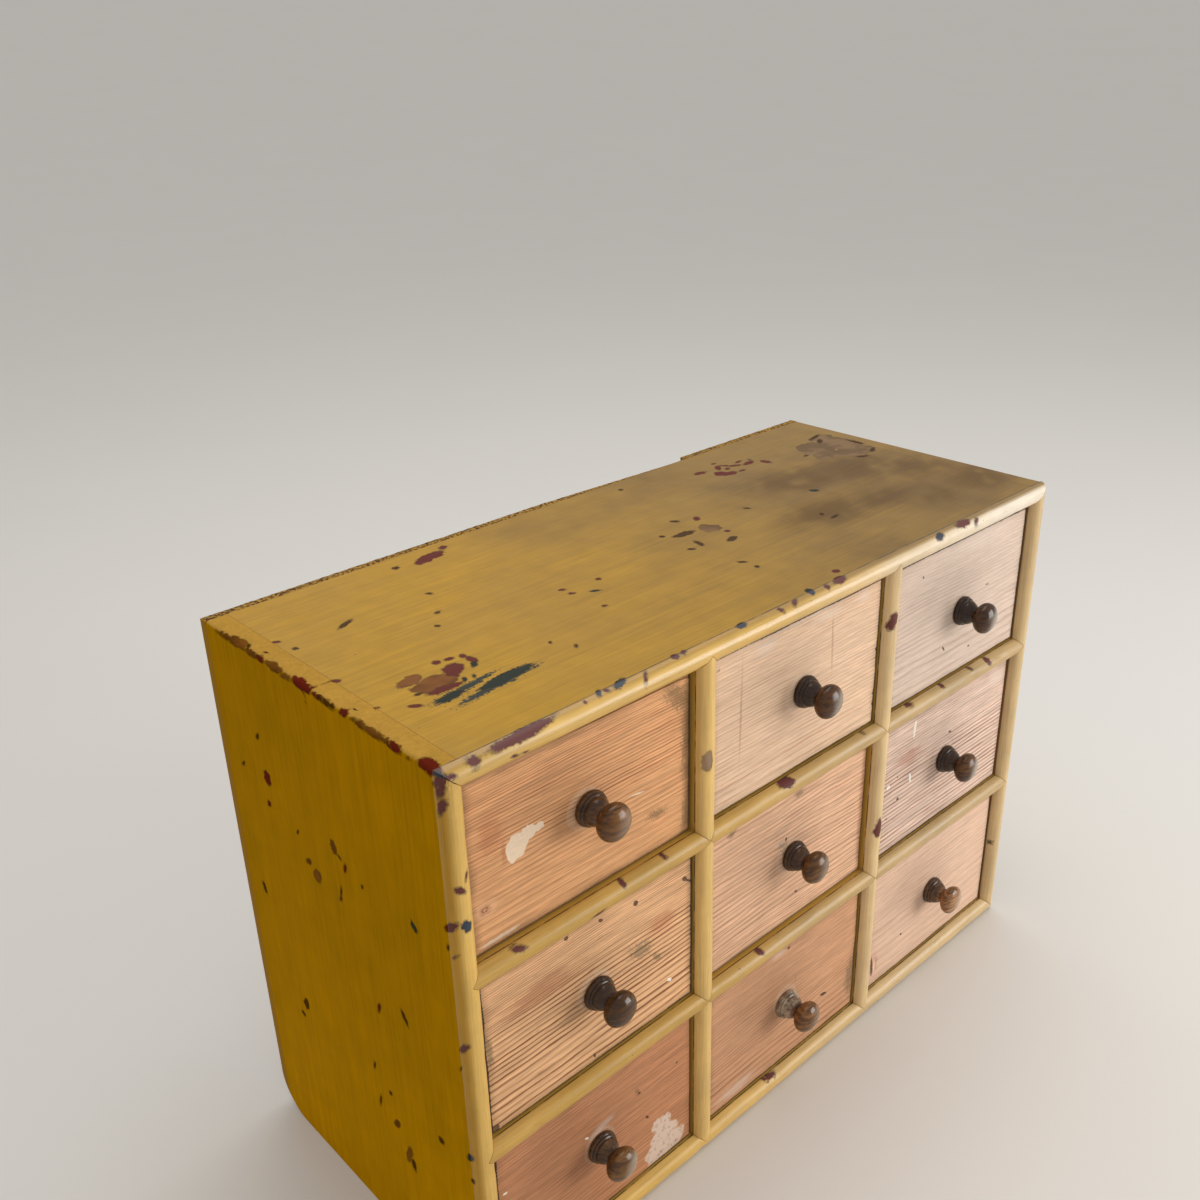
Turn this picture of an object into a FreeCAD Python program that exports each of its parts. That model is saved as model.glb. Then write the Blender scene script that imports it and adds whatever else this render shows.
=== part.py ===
import FreeCAD, Part
import Sketcher
import os
import re

# A small painted bank of nine drawers, three across and three high.
# Millimetres. X runs to the right of someone facing the drawers, Y to the back and Z up.
# The origin is the middle of the case's footprint, on the table.

ACROSS = 3
HIGH = 3
TAILS = 3

# Driving sizes
SIZES = {
    # the case
    "column_pitch": 214,       # middle of one upright to the middle of the next
    "row_pitch": 149.2,        # middle of one shelf to the middle of the next
    "board": 17,               # thickness of every case board, and width of its bead
    "board_depth": 274,        # front edge to back edge of the case boards
    "housing": 4,              # depth of the grooves that hold shelves and dividers
    "back_board": 8,           # thickness of the three boards nailed to the back
    "back_middle": 175,        # width of the middle one
    "back_right": 166,         # width of the right one
    "back_joint": 0.5,         # open joint between them
    "back_drop": 4,            # how far the middle one falls away to the right
    "corner_round": 34,        # radius of the rounded lower back edge
    "arris": 2.5,              # softened top edge at each end of the case
    # the nails that hold the back
    "nail_head": 5,
    "nail_head_thick": 0.6,
    "nail_shank": 2,
    "nail_bite": 14,
    # the drawers
    "front_recess": 0.5,       # drawer face behind the front edges of the case boards
    "side_gap": 1.5,
    "top_gap": 2,
    "running_gap": 0.3,
    "front_raise": 0.5,        # the front clears the shelf that the sides run on
    "front_arris": 1,
    "stop_gap": 1,             # closed drawer to the back boards
    "front_board": 14,
    "front_lap": 4,            # wood left in front of the dovetails
    "side_board": 9.5,
    "rear_board": 9.5,
    "rear_inset": 6,
    "rear_drop": 6,
    "rear_housing": 3,
    "floor_board": 6,
    "floor_groove": 4,
    "floor_up": 8,
    "pin_thin": 5,
    "pin_thick": 9,
    # the turned knobs
    "knob_band_radius": 12.6,
    "knob_band": 5,
    "knob_step": 1.2,
    "knob_bell_radius": 14,
    "knob_neck_radius": 6,
    "knob_neck_reach": 14.6,
    "knob_ball_radius": 13.7,
    "knob_ball_reach": 23.3,
    "knob_shoulder_radius": 6,
    "knob_reach": 31.5,
    "tenon_radius": 4.75,
    # fits and cuts
    "close_fit": 0.05,         # radial clearance of a nail or a knob's tenon in its hole
    "overrun": 1,              # how far a cut runs past the wood
}

# Sizes that follow from them
FORMULAS = {
    "width": "column_pitch * %d + board" % ACROSS,
    "height": "row_pitch * %d + board" % HIGH,
    "inner_width": "column_pitch * %d - board" % ACROSS,
    "bead_radius": "board / 2",
    "board_front": "(bead_radius - board_depth - back_board) / 2",
    "board_back": "board_front + board_depth",
    "round_start": "board_depth + back_board - corner_round",
    "round_low": "corner_round - sqrt(corner_round ^ 2 - (corner_round - back_board) ^ 2)",
    "back_left": "width - back_middle - back_right - back_joint * 2",
    "back_left_x": "-width / 2",
    "back_middle_x": "back_left_x + back_left + back_joint",
    "back_right_x": "back_middle_x + back_middle + back_joint",
    "nails_left_x": "-inner_width / 2",
    "nails_left": "back_left - board",
    "nails_middle_x": "back_middle_x",
    "nails_middle": "back_middle",
    "nails_right_x": "back_right_x",
    "nails_right": "back_right - board",
    "drawer_width": "column_pitch - board - side_gap * 2",
    "drawer_height": "row_pitch - board - running_gap - top_gap",
    "drawer_length": "board_depth - front_recess - stop_gap",
    "inside_width": "drawer_width - side_board * 2",
    "tail_pitch": "drawer_height / %d" % TAILS,
    "rear_back": "drawer_length - rear_inset",
    "floor_top": "floor_up + floor_board",
    "ball_rise": "knob_ball_reach - knob_neck_reach",
    "ball_step": "knob_ball_radius - knob_neck_radius",
    "ball_rear_radius": "(ball_step ^ 2 + ball_rise ^ 2) / (ball_step * 2)",
    "shoulder_in": "knob_ball_radius - knob_shoulder_radius",
    "ball_nose": "knob_reach - knob_ball_reach",
    "crown_radius": "(shoulder_in ^ 2 + ball_nose ^ 2 - knob_shoulder_radius ^ 2)"
                    " / ((ball_nose - knob_shoulder_radius) * 2)",
    "crown_share": "crown_radius / (crown_radius - knob_shoulder_radius)",
    "crown_out": "shoulder_in * crown_share",
    "crown_reach": "knob_reach - crown_radius + (crown_radius - ball_nose) * crown_share",
}

# Each knob sits a little off the middle of its drawer: shares of the drawer's width and height
KNOB_ACROSS_SHARES = ((0.013, 0.023, 0.020), (0.007, 0.015, 0.003), (-0.005, -0.004, 0.008))
KNOB_UP_SHARES = ((0.004, 0.012, -0.032), (-0.015, 0.001, -0.018), (0.006, -0.007, -0.006))

# Where the nails stand across each back board: shares of the stretch that has wood behind it
NAIL_SHARES = {"left": (0.04, 0.47, 0.93), "middle": (0.14, 0.86), "right": (0.13, 0.94)}

doc = FreeCAD.newDocument("bank_of_drawers")
sheet = doc.addObject("Spreadsheet::Sheet", "Sizes")
for line, (alias, number) in enumerate(SIZES.items(), start=1):
    sheet.set("A%d" % line, alias)
    sheet.set("B%d" % line, str(number))
    sheet.setAlias("B%d" % line, alias)
doc.recompute()

nodes = []
edges_to_soften = []


# Helpers for sizes, sketches and features

def bound(formula):
    """Gives a formula in the sheet's own cells."""
    def cell(match):
        word = match.group(0)
        if word in FORMULAS:
            return "(%s)" % bound(FORMULAS[word])
        return "Sizes." + word if word in SIZES else word
    return re.sub(r"[a-z]\w*", cell, formula)


def value(formula):
    """Gives the number that a formula has now."""
    return float(sheet.evalExpression(bound(formula)))


def bind(thing, name, formula):
    """Ties one property of an object to the sheet."""
    thing.setExpression(name, bound(formula))


def place(thing, x="0", y="0", z="0"):
    """Puts a piece where the case needs it."""
    for axis, formula in (("x", x), ("y", y), ("z", z)):
        bind(thing, "Placement.Base." + axis, formula)


def keep(thing, label):
    """Gives a sub-part its name and lists it for writing."""
    thing.Label = label
    nodes.append(thing)
    return thing


def new_body(name):
    """Starts a piece."""
    return doc.addObject("PartDesign::Body", name)


def sketch_on(body, plane, offset="0"):
    """Starts a sketch on one of the body's own planes, or a distance in front of it."""
    sketch = body.newObject("Sketcher::SketchObject", body.Name + "_outline")
    flat = [feature for feature in body.Origin.OriginFeatures if feature.Role == plane + "_Plane"][0]
    sketch.AttachmentSupport = (flat, [""])
    sketch.MapMode = "FlatFace"
    bind(sketch, "AttachmentOffset.Base.z", offset)
    return sketch


def dimension(sketch, kind, formula, *where):
    """Adds a dimension that follows the sheet."""
    number = sketch.addConstraint(Sketcher.Constraint(kind, *where, value(formula)))
    bind(sketch, "Constraints[%d]" % number, formula)


def outline(sketch, corners, arcs={}):
    """Draws a closed outline through corners given as pairs of formulas.

    arcs gives, for a side's number, its radius and the hand that it bulges to: 1 left, -1 right.
    """
    points = [FreeCAD.Vector(value(across), value(up), 0) for across, up in corners]
    first = sketch.GeometryCount
    ends = []
    for side, start in enumerate(points):
        end = points[(side + 1) % len(points)]
        if side in arcs:
            radius, hand = value(arcs[side][0]), arcs[side][1]
            chord = end - start
            rise = radius - (radius ** 2 - chord.Length ** 2 / 4) ** 0.5
            left = FreeCAD.Vector(-chord.y, chord.x, 0).normalize()
            edge = Part.Arc(start, (start + end) / 2 + left * rise * hand, end)
        else:
            edge = Part.LineSegment(start, end)
        number = sketch.addGeometry(edge)
        from_first = sketch.getPoint(number, 1).distanceToPoint(start)
        from_second = sketch.getPoint(number, 2).distanceToPoint(start)
        ends.append((1, 2) if from_first < from_second else (2, 1))
    for side, (across, up) in enumerate(corners):
        before = (side - 1) % len(corners)
        here = (first + side, ends[side][0])
        sketch.addConstraint(Sketcher.Constraint("Coincident", first + before, ends[before][1], *here))
        dimension(sketch, "DistanceX", across, -1, 1, *here)
        dimension(sketch, "DistanceY", up, -1, 1, *here)
        if side in arcs:
            dimension(sketch, "Radius", arcs[side][0], first + side)


def rectangle(sketch, left, low, right, high):
    """Draws a rectangle from formulas for its four sides."""
    outline(sketch, [(left, low), (right, low), (right, high), (left, high)])


def circle(sketch, across, up, radius):
    """Draws a circle from formulas for its centre and radius."""
    middle = FreeCAD.Vector(value(across), value(up), 0)
    number = sketch.addGeometry(Part.Circle(middle, FreeCAD.Vector(0, 0, 1), value(radius)))
    dimension(sketch, "DistanceX", across, -1, 1, number, 3)
    dimension(sketch, "DistanceY", up, -1, 1, number, 3)
    dimension(sketch, "Radius", radius, number)


def pad(body, sketch, length, side="One side", back=False):
    """Grows a board from its outline."""
    feature = body.newObject("PartDesign::Pad", body.Name + "_pad")
    feature.Profile = sketch
    feature.SideType = side
    feature.Reversed = back
    bind(feature, "Length", length)
    return feature


def cut(body, sketch, depth=None, side="Symmetric", back=False):
    """Cuts an outline out of a body, right through it both ways where no depth is given."""
    feature = body.newObject("PartDesign::Pocket", body.Name + "_cut")
    feature.Profile = sketch
    feature.SideType = side
    feature.Reversed = back
    if depth:
        bind(feature, "Length", depth)
    else:
        feature.Type = "ThroughAll"
    return feature


def repeat(body, feature, axis, pitch, count):
    """Repeats a cut at an even pitch."""
    pattern = body.newObject("PartDesign::LinearPattern", body.Name + "_row")
    pattern.Originals = [feature]
    line = [item for item in body.Origin.OriginFeatures if item.Role == axis + "_Axis"][0]
    pattern.Direction = (line, [""])
    bind(pattern, "Length", "(%s) * %d" % (pitch, count - 1))
    pattern.Occurrences = count
    body.Tip = pattern
    return pattern


def soften(body, base, chosen, radius):
    """Rounds the edges of the base feature that the chosen test picks."""
    edges = enumerate(base.Shape.Edges, start=1)
    names = ["Edge%d" % number for number, edge in edges if chosen(edge.BoundBox)]
    feature = body.newObject("PartDesign::Fillet", body.Name + "_softened")
    feature.Base = (base, names)
    bind(feature, "Radius", radius)
    body.Tip = feature


def together(label, pieces):
    """Makes one sub-part of several separate solids."""
    group = doc.addObject("Part::Compound", label)
    group.Links = pieces
    return keep(group, label)


# The case: sides, top and bottom

def rounded_profile(sketch, top):
    """Draws a board's end or side whose lower back corner is rounded, together with the back boards."""
    corners = [("0", "0"), ("round_start", "0"), ("board_depth", "round_low"), ("board_depth", top),
               ("0", top)]
    outline(sketch, corners, {1: ("corner_round", -1)})


def case_side(label, x, inner, outer_low):
    """A full-height end board, grooved inside for the shelves."""
    body = new_body(label)
    profile = sketch_on(body, "YZ")
    rounded_profile(profile, "height")
    pad(body, profile, "board")
    groove = sketch_on(body, "XZ")
    rectangle(groove, inner[0], "row_pitch", inner[1], "row_pitch + board")
    grooves = repeat(body, cut(body, groove), "Z", "row_pitch", HIGH - 1)
    top = value("height - housing")
    half = value("board / 2")

    def outer_top(box):
        outer = box.XMax < half if outer_low else box.XMin > half
        return outer and box.ZMin > top and box.YLength > half

    edges_to_soften.append((body, grooves, outer_top, "arris"))
    place(body, x, "board_front")
    return keep(body, label)


def nail_columns(name):
    """Gives the places across the case of one back board's nails, as formulas."""
    return ["nails_%s_x + nails_%s * %s" % (name, name, share) for share in NAIL_SHARES[name]]


def all_nail_columns():
    """Gives the places across the case of all the nails."""
    return [across for name in NAIL_SHARES for across in nail_columns(name)]


def nail_rows():
    """Gives the middle heights of the boards that the back is nailed to."""
    return ["row_pitch * %d + bead_radius" % row for row in range(1, HIGH + 1)]


def drill_back_edge(body, middle):
    """Drills the nail holes into the back edge of a board that lies across the case."""
    holes = sketch_on(body, "XZ", "-board_depth")
    for across in all_nail_columns():
        circle(holes, across, middle, "nail_shank / 2 + close_fit")
    return cut(body, holes, "nail_bite", "One side", True)


def level_board(label, z, upper):
    """The top or the bottom board, set between the sides and grooved for the dividers."""
    body = new_body(label)
    profile = sketch_on(body, "YZ")
    if upper:
        rectangle(profile, "0", "0", "board_depth", "board")
        groove_low, groove_high = "-overrun", "housing"
    else:
        rounded_profile(profile, "board")
        groove_low, groove_high = "board - housing", "board + overrun"
    pad(body, profile, "inner_width", "Symmetric")
    groove = sketch_on(body, "XZ")
    left, right = "-column_pitch / 2 - bead_radius", "-column_pitch / 2 + bead_radius"
    rectangle(groove, left, groove_low, right, groove_high)
    repeat(body, cut(body, groove), "X", "column_pitch", ACROSS - 1)
    if upper:
        body.Tip = drill_back_edge(body, "bead_radius")
    place(body, y="board_front", z=z)
    return keep(body, label)


def case_box():
    """The four outer boards."""
    case_side("left_side", "-width / 2", ("board - housing", "board + overrun"), True)
    case_side("right_side", "width / 2 - board", ("-overrun", "housing"), False)
    level_board("bottom_board", "0", False)
    level_board("top_board", "height - board", True)


# The grid inside: shelves and dividers halved into each other

def shelf(label, row):
    """A full-width shelf, slotted from the front for the dividers."""
    body = new_body(label)
    plan = sketch_on(body, "XY")
    rectangle(plan, "-inner_width / 2 - housing", "0", "inner_width / 2 + housing", "board_depth")
    pad(body, plan, "board")
    slot = sketch_on(body, "XY")
    left, right = "-column_pitch / 2 - bead_radius", "-column_pitch / 2 + bead_radius"
    rectangle(slot, left, "-overrun", right, "board_depth / 2")
    repeat(body, cut(body, slot), "X", "column_pitch", ACROSS - 1)
    body.Tip = drill_back_edge(body, "bead_radius")
    place(body, y="board_front", z="row_pitch * %d" % row)
    return keep(body, label)


def divider(label, column):
    """A full-height divider, slotted from the back for the shelves."""
    body = new_body(label)
    profile = sketch_on(body, "YZ")
    rectangle(profile, "0", "board - housing", "board_depth", "height - board + housing")
    pad(body, profile, "board", "Symmetric")
    slot = sketch_on(body, "YZ")
    rectangle(slot, "board_depth / 2", "row_pitch", "board_depth + overrun", "row_pitch + board")
    repeat(body, cut(body, slot), "Z", "row_pitch", HIGH - 1)
    place(body, "column_pitch * %d - column_pitch * %d / 2" % (column, ACROSS), "board_front")
    return keep(body, label)


# The back: three upright boards and their nails

def back_boards():
    """Three boards side by side. The middle one's top end falls away to the right."""
    for name in NAIL_SHARES:
        wide, left = "back_" + name, "back_%s_x" % name
        body = new_body("back_board_" + name)
        profile = sketch_on(body, "YZ")
        corners = [("0", "round_low"), ("back_board", "corner_round"), ("back_board", "height"),
                   ("0", "height")]
        outline(profile, corners, {0: ("corner_round", -1)})
        pad(body, profile, wide)
        holes = sketch_on(body, "XZ")
        for across in nail_columns(name):
            for middle in nail_rows():
                circle(holes, "%s - %s" % (across, left), middle, "nail_shank / 2 + close_fit")
        cut(body, holes)
        if name == "middle":
            slope = sketch_on(body, "XZ")
            over = "height + overrun"
            outline(slope, [("0", "height"), (wide, "height - back_drop"), (wide, over), ("0", over)])
            cut(body, slope)
        place(body, left, "board_back")
        keep(body, "back_board_" + name)


def back_nails():
    """Round-headed nails through the back boards into the top board and the shelves."""
    face = value("board_back + back_board")
    backward = FreeCAD.Vector(0, 1, 0)
    nails = []
    reach = value("back_board + nail_bite")
    for across in all_nail_columns():
        for middle in nail_rows():
            foot = FreeCAD.Vector(value(across), face, value(middle))
            head = Part.makeCylinder(value("nail_head / 2"), value("nail_head_thick"), foot, backward)
            shank = Part.makeCylinder(value("nail_shank / 2"), reach, foot - backward * reach, backward)
            nails.append(head.fuse(shank).removeSplitter().Solids[0])
    group = doc.addObject("Part::Feature", "back_nails")
    group.Shape = Part.makeCompound(nails)
    group.Placement = FreeCAD.Placement()
    return keep(group, "back_nails")


# The beads: half-round strips on the front edges, mitred where they meet

def half_round(body, corners, upright):
    """Makes a strip with this front outline and rounds it over. Corners run along, then across."""
    def turned(pairs):
        return [(second, first) for first, second in pairs] if upright else pairs

    front = sketch_on(body, "XZ")
    outline(front, turned(corners))
    pad(body, front, "bead_radius")
    waste = sketch_on(body, "XY" if upright else "YZ")
    out, far = "-bead_radius", "-bead_radius - overrun"
    round_corners = [("0", "bead_radius"), ("0", "bead_radius + overrun"), (far, "bead_radius + overrun"),
                     (far, far), ("0", far), ("0", out), (out, "0")]
    hand = -1 if upright else 1
    outline(waste, turned(round_corners), {5: ("bead_radius", hand), 6: ("bead_radius", hand)})
    cut(body, waste)
    return body


def frame_bead(label, length, pitch, out, upright, x, z):
    """One side of the bead frame: mitred at its ends, notched where an inner bead runs into it."""
    outer = "bead_radius * %d" % out
    inner = "-bead_radius * %d" % out
    mitre = "(%s) / 2 - board" % length
    corners = [("-(%s) / 2" % length, outer), ("-(%s)" % mitre, inner)]
    for notch in ("-%s / 2" % pitch, "%s / 2" % pitch):
        corners += [(notch + " - bead_radius", inner), (notch, "0"), (notch + " + bead_radius", inner)]
    corners += [(mitre, inner), ("(%s) / 2" % length, outer)]
    body = half_round(new_body(label), corners, upright)
    place(body, x, "board_front", z)
    return keep(body, label)


def inner_beads(label, pitch, upright, places):
    """A row of short strips, pointed at both ends, on one shelf or one divider."""
    strips = []
    tip, shoulder = "%s / 2" % pitch, "%s / 2 - bead_radius" % pitch
    corners = [("-" + tip, "0"), ("-(%s)" % shoulder, "-bead_radius"), (shoulder, "-bead_radius"),
               (tip, "0"), (shoulder, "bead_radius"), ("-(%s)" % shoulder, "bead_radius")]
    for number, (x, z) in enumerate(places, start=1):
        strip = half_round(new_body("%s_strip_%d" % (label, number)), corners, upright)
        place(strip, x, "board_front", z)
        strips.append(strip)
    return together(label, strips)


def beads():
    """All the beads on the front of the case."""
    middle = "row_pitch * %d / 2 + bead_radius" % HIGH
    frame_bead("bead_top", "width", "column_pitch", 1, False, "0", "height - bead_radius")
    frame_bead("bead_bottom", "width", "column_pitch", -1, False, "0", "bead_radius")
    frame_bead("bead_left", "height", "row_pitch", -1, True, "bead_radius - width / 2", middle)
    frame_bead("bead_right", "height", "row_pitch", 1, True, "width / 2 - bead_radius", middle)
    for name, row in (("lower", 1), ("upper", 2)):
        level = "row_pitch * %d + bead_radius" % row
        places = [("column_pitch * %d" % (column - 1), level) for column in range(ACROSS)]
        inner_beads("bead_%s_shelf" % name, "column_pitch", False, places)
    for name, side in (("left", -1), ("right", 1)):
        upright = "column_pitch * %d / 2" % side
        places = [(upright, "row_pitch * (%d + 1 / 2) + bead_radius" % row) for row in range(HIGH)]
        inner_beads("bead_%s_divider" % name, "row_pitch", True, places)


# The drawers. Each is drawn about the middle of its face, standing on what it runs on.

def drawer_front(label, across, up):
    """The face board, with sockets for the sides, a groove for the floor and the knob's hole."""
    body = new_body(label)
    face = sketch_on(body, "XZ")
    rectangle(face, "-drawer_width / 2", "front_raise", "drawer_width / 2", "drawer_height")
    pad(body, face, "front_board", back=True)
    for end, back in (("-drawer_width / 2", True), ("drawer_width / 2", False)):
        sockets = sketch_on(body, "YZ", end)
        for tail in range(TAILS):
            low, high = "tail_pitch * %d" % tail, "tail_pitch * %d" % (tail + 1)
            outline(sockets, [
                ("front_lap", low + " + pin_thin / 2"),
                ("front_board", low + " + pin_thick / 2"),
                ("front_board + overrun", low + " + pin_thick / 2"),
                ("front_board + overrun", high + " - pin_thick / 2"),
                ("front_board", high + " - pin_thick / 2"),
                ("front_lap", high + " - pin_thin / 2"),
            ])
        cut(body, sockets, "side_board", "One side", back)
    groove = sketch_on(body, "YZ")
    rectangle(groove, "front_board - floor_groove", "floor_up", "front_board + overrun", "floor_top")
    cut(body, groove, "inside_width + floor_groove * 2")
    hole = sketch_on(body, "XZ")
    circle(hole, across, up, "tenon_radius + close_fit")
    drilled = cut(body, hole)
    near = value("front_arris")

    def on_face(box):
        wide = box.XLength > value("drawer_width / 2") or box.ZLength > value("drawer_height / 2")
        return wide and box.YMax < near

    edges_to_soften.append((body, drilled, on_face, "front_arris"))
    return body


def drawer_side(label, hand):
    """A side board with its tails at the front. hand is 1 where its inner face is to the right."""
    body = new_body(label)
    profile = sketch_on(body, "YZ")
    rectangle(profile, "front_lap", "0", "drawer_length", "drawer_height")
    pad(body, profile, "side_board")
    pins = sketch_on(body, "YZ")
    for number in range(TAILS + 1):
        middle = "tail_pitch * %d" % number
        outline(pins, [
            ("front_lap", middle + " - pin_thin / 2"),
            ("front_board", middle + " - pin_thick / 2"),
            ("front_board", middle + " + pin_thick / 2"),
            ("front_lap", middle + " + pin_thin / 2"),
        ])
    cut(body, pins)

    def from_inner(depth):
        return ("side_board - " + depth, "side_board + overrun") if hand > 0 else ("-overrun", depth)

    groove = sketch_on(body, "XZ")
    low, high = from_inner("floor_groove")
    rectangle(groove, low, "floor_up", high, "floor_top")
    cut(body, groove)
    housing = sketch_on(body, "XY")
    low, high = from_inner("rear_housing")
    rectangle(housing, low, "rear_back - rear_board", high, "rear_back")
    cut(body, housing)
    return body


def drawer_rear(label):
    """The rear board, housed in the sides and standing on the floor."""
    body = new_body(label)
    plan = sketch_on(body, "XY", "floor_top")
    rectangle(plan, "-inside_width / 2 - rear_housing", "rear_back - rear_board",
              "inside_width / 2 + rear_housing", "rear_back")
    pad(body, plan, "drawer_height - rear_drop - floor_top")
    return body


def drawer_floor(label):
    """The floor board, in grooves on three sides and under the rear board."""
    body = new_body(label)
    plan = sketch_on(body, "XY", "floor_up")
    rectangle(plan, "-inside_width / 2 - floor_groove", "front_board - floor_groove",
              "inside_width / 2 + floor_groove", "rear_back")
    pad(body, plan, "floor_board")
    return body


def drawer_knob(label):
    """A turned knob: tenon, banded foot, bell, neck and flattened ball."""
    body = new_body(label)
    half = sketch_on(body, "XY")
    corners = [("0", "front_board"), ("tenon_radius", "front_board"), ("tenon_radius", "0"),
               ("knob_band_radius", "0"), ("knob_band_radius", "-knob_band"),
               ("knob_band_radius - knob_step", "-knob_band"), ("knob_neck_radius", "-knob_neck_reach"),
               ("knob_ball_radius", "-knob_ball_reach"), ("crown_out", "-crown_reach"),
               ("0", "-knob_reach")]
    arcs = {3: ("knob_band", 1), 5: ("knob_bell_radius", 1), 6: ("ball_rear_radius", 1),
            7: ("knob_shoulder_radius", 1), 8: ("crown_radius", 1)}
    outline(half, corners, arcs)
    turned = body.newObject("PartDesign::Revolution", body.Name + "_turned")
    turned.Profile = half
    turned.ReferenceAxis = (half, ["V_Axis"])
    turned.Angle = 360
    return body


def drawer(row, column):
    """One drawer, named by its row from the top and its column from the left."""
    name = "drawer_%s%d" % ("abc"[row], column + 1)
    x = "column_pitch * %d" % (column - 1)
    y = "board_front + front_recess"
    z = "row_pitch * %d + board + running_gap" % (HIGH - 1 - row)
    knob_x = "drawer_width * %s" % KNOB_ACROSS_SHARES[row][column]
    knob_z = "drawer_height * %s" % (KNOB_UP_SHARES[row][column] + 1 / 2)
    front = keep(drawer_front(name + "_front", knob_x, knob_z), name + "_front")
    left = drawer_side(name + "_left", 1)
    right = drawer_side(name + "_right", -1)
    rear = drawer_rear(name + "_rear")
    floor = keep(drawer_floor(name + "_floor"), name + "_floor")
    knob = keep(drawer_knob(name + "_knob"), name + "_knob")
    for piece in (front, rear, floor):
        place(piece, x, y, z)
    place(left, x + " - drawer_width / 2", y, z)
    place(right, x + " + drawer_width / 2 - side_board", y, z)
    place(knob, "%s + %s" % (x, knob_x), y, "%s + %s" % (z, knob_z))
    together(name + "_box", [left, right, rear])


# Building, checking and writing

case_box()
shelf("lower_shelf", 1)
shelf("upper_shelf", 2)
divider("left_divider", 1)
divider("right_divider", 2)
back_boards()
back_nails()
beads()
for row in range(HIGH):
    for column in range(ACROSS):
        drawer(row, column)
doc.recompute()
for body, base, chosen, radius in edges_to_soften:
    soften(body, base, chosen, radius)
doc.recompute()

for item in doc.Objects:
    if "Invalid" in item.State or "Error" in item.State:
        raise RuntimeError("%s could not be built: %s" % (item.Label, item.State))
    if item.TypeId == "PartDesign::Pocket" and item.Shape.Volume >= item.BaseFeature.Shape.Volume:
        raise RuntimeError("%s removes nothing" % item.Label)
for item in nodes:
    if item.Shape.isNull() or not item.Shape.isValid():
        raise RuntimeError("%s has no sound shape" % item.Label)

os.makedirs("parts", exist_ok=True)
for item in nodes:
    item.Shape.exportStep("parts/%s.step" % item.Label)
print("%d sub-parts written" % len(nodes))
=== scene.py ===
"""Looks of a small painted bank of nine drawers, three across and three high.

Metres. X runs to the right of someone facing the drawers, Y to the back and Z up.
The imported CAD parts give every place. Softened copies of the parts that show carry
the wear, and the parts inside keep their own meshes and get a finish.
"""

import logging
import math
from collections.abc import Callable, Iterable
from dataclasses import dataclass
from enum import Enum
from functools import cached_property

import bmesh
import bpy
from mathutils import Euler, Matrix, Vector, kdtree, noise


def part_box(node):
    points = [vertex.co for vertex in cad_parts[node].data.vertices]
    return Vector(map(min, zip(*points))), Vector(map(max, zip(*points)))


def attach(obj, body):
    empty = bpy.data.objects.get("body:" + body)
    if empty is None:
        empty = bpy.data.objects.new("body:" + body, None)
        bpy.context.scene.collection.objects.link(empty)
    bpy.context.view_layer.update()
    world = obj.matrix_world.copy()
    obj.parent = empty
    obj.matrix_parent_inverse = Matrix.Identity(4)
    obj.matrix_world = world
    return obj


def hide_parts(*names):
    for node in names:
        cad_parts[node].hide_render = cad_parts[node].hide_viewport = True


MM = 0.001
Colour = tuple[float, float, float]
Triple = tuple[float, float, float]
Points = tuple[tuple[float, float], ...]
Socket = bpy.types.NodeSocket
Number = Socket | float
Tone = Socket | Colour
Values = dict[str | int, object]
Shape = bmesh.types.BMesh
Vert = bmesh.types.BMVert
Material = bpy.types.Material
Where = Callable[[Vector], bool]

log = logging.getLogger("bank_of_drawers")
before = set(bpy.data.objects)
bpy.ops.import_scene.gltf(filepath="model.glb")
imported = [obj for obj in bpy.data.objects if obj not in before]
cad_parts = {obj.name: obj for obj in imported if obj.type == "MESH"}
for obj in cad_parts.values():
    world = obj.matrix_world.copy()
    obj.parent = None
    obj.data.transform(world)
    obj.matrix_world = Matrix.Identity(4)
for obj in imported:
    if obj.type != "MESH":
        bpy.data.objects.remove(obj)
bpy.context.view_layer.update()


class Axis(Enum):
    """The directions of the row frame."""

    X = 0
    Y = 1
    Z = 2


class Coat(Enum):
    """What shows in a mark on a painted or bare surface."""

    OXBLOOD = "older dark red paint"
    SLATE = "older blue-grey paint"
    BRUSHED = "blue-grey paint dragged on nearly dry"
    BARE = "bare worn wood"
    GRIME = "dirt in a dent"
    STAIN = "soft brown stain"
    FILLER = "pale wood filler"
    KNOT = "knot"
    INK = "grey-green smudge"
    WHITE = "white paint"
    RUST = "red-brown bruise"
    PAPER = "torn paper label"
    SCRIBE = "scored line"
    HAZE = "pale bloom"


class Face(Enum):
    """A face that marks are placed on, by the direction that it looks."""

    TOP = (0.0, 0.0, 1.0)
    SIDE = (-1.0, 0.0, 0.0)
    FRONT = (0.0, -1.0, 0.0)


Rows = dict[Coat, tuple[tuple[float, float, float, float, float], ...]]
CRISP = frozenset({Coat.OXBLOOD, Coat.SLATE, Coat.BARE, Coat.GRIME, Coat.FILLER, Coat.WHITE, Coat.PAPER})
SOFT = frozenset({Coat.STAIN, Coat.HAZE, Coat.RUST, Coat.INK})
SUNK = {Coat.BARE: 0.22, Coat.OXBLOOD: 0.14, Coat.SLATE: 0.12, Coat.GRIME: 0.3}    # how deep a chip is, in mm
AWAY = 9.0           # how near a point is to marks that are far from it
TURNED_AWAY = -0.2   # marks don't reach a face that looks further from their own direction than this


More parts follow.
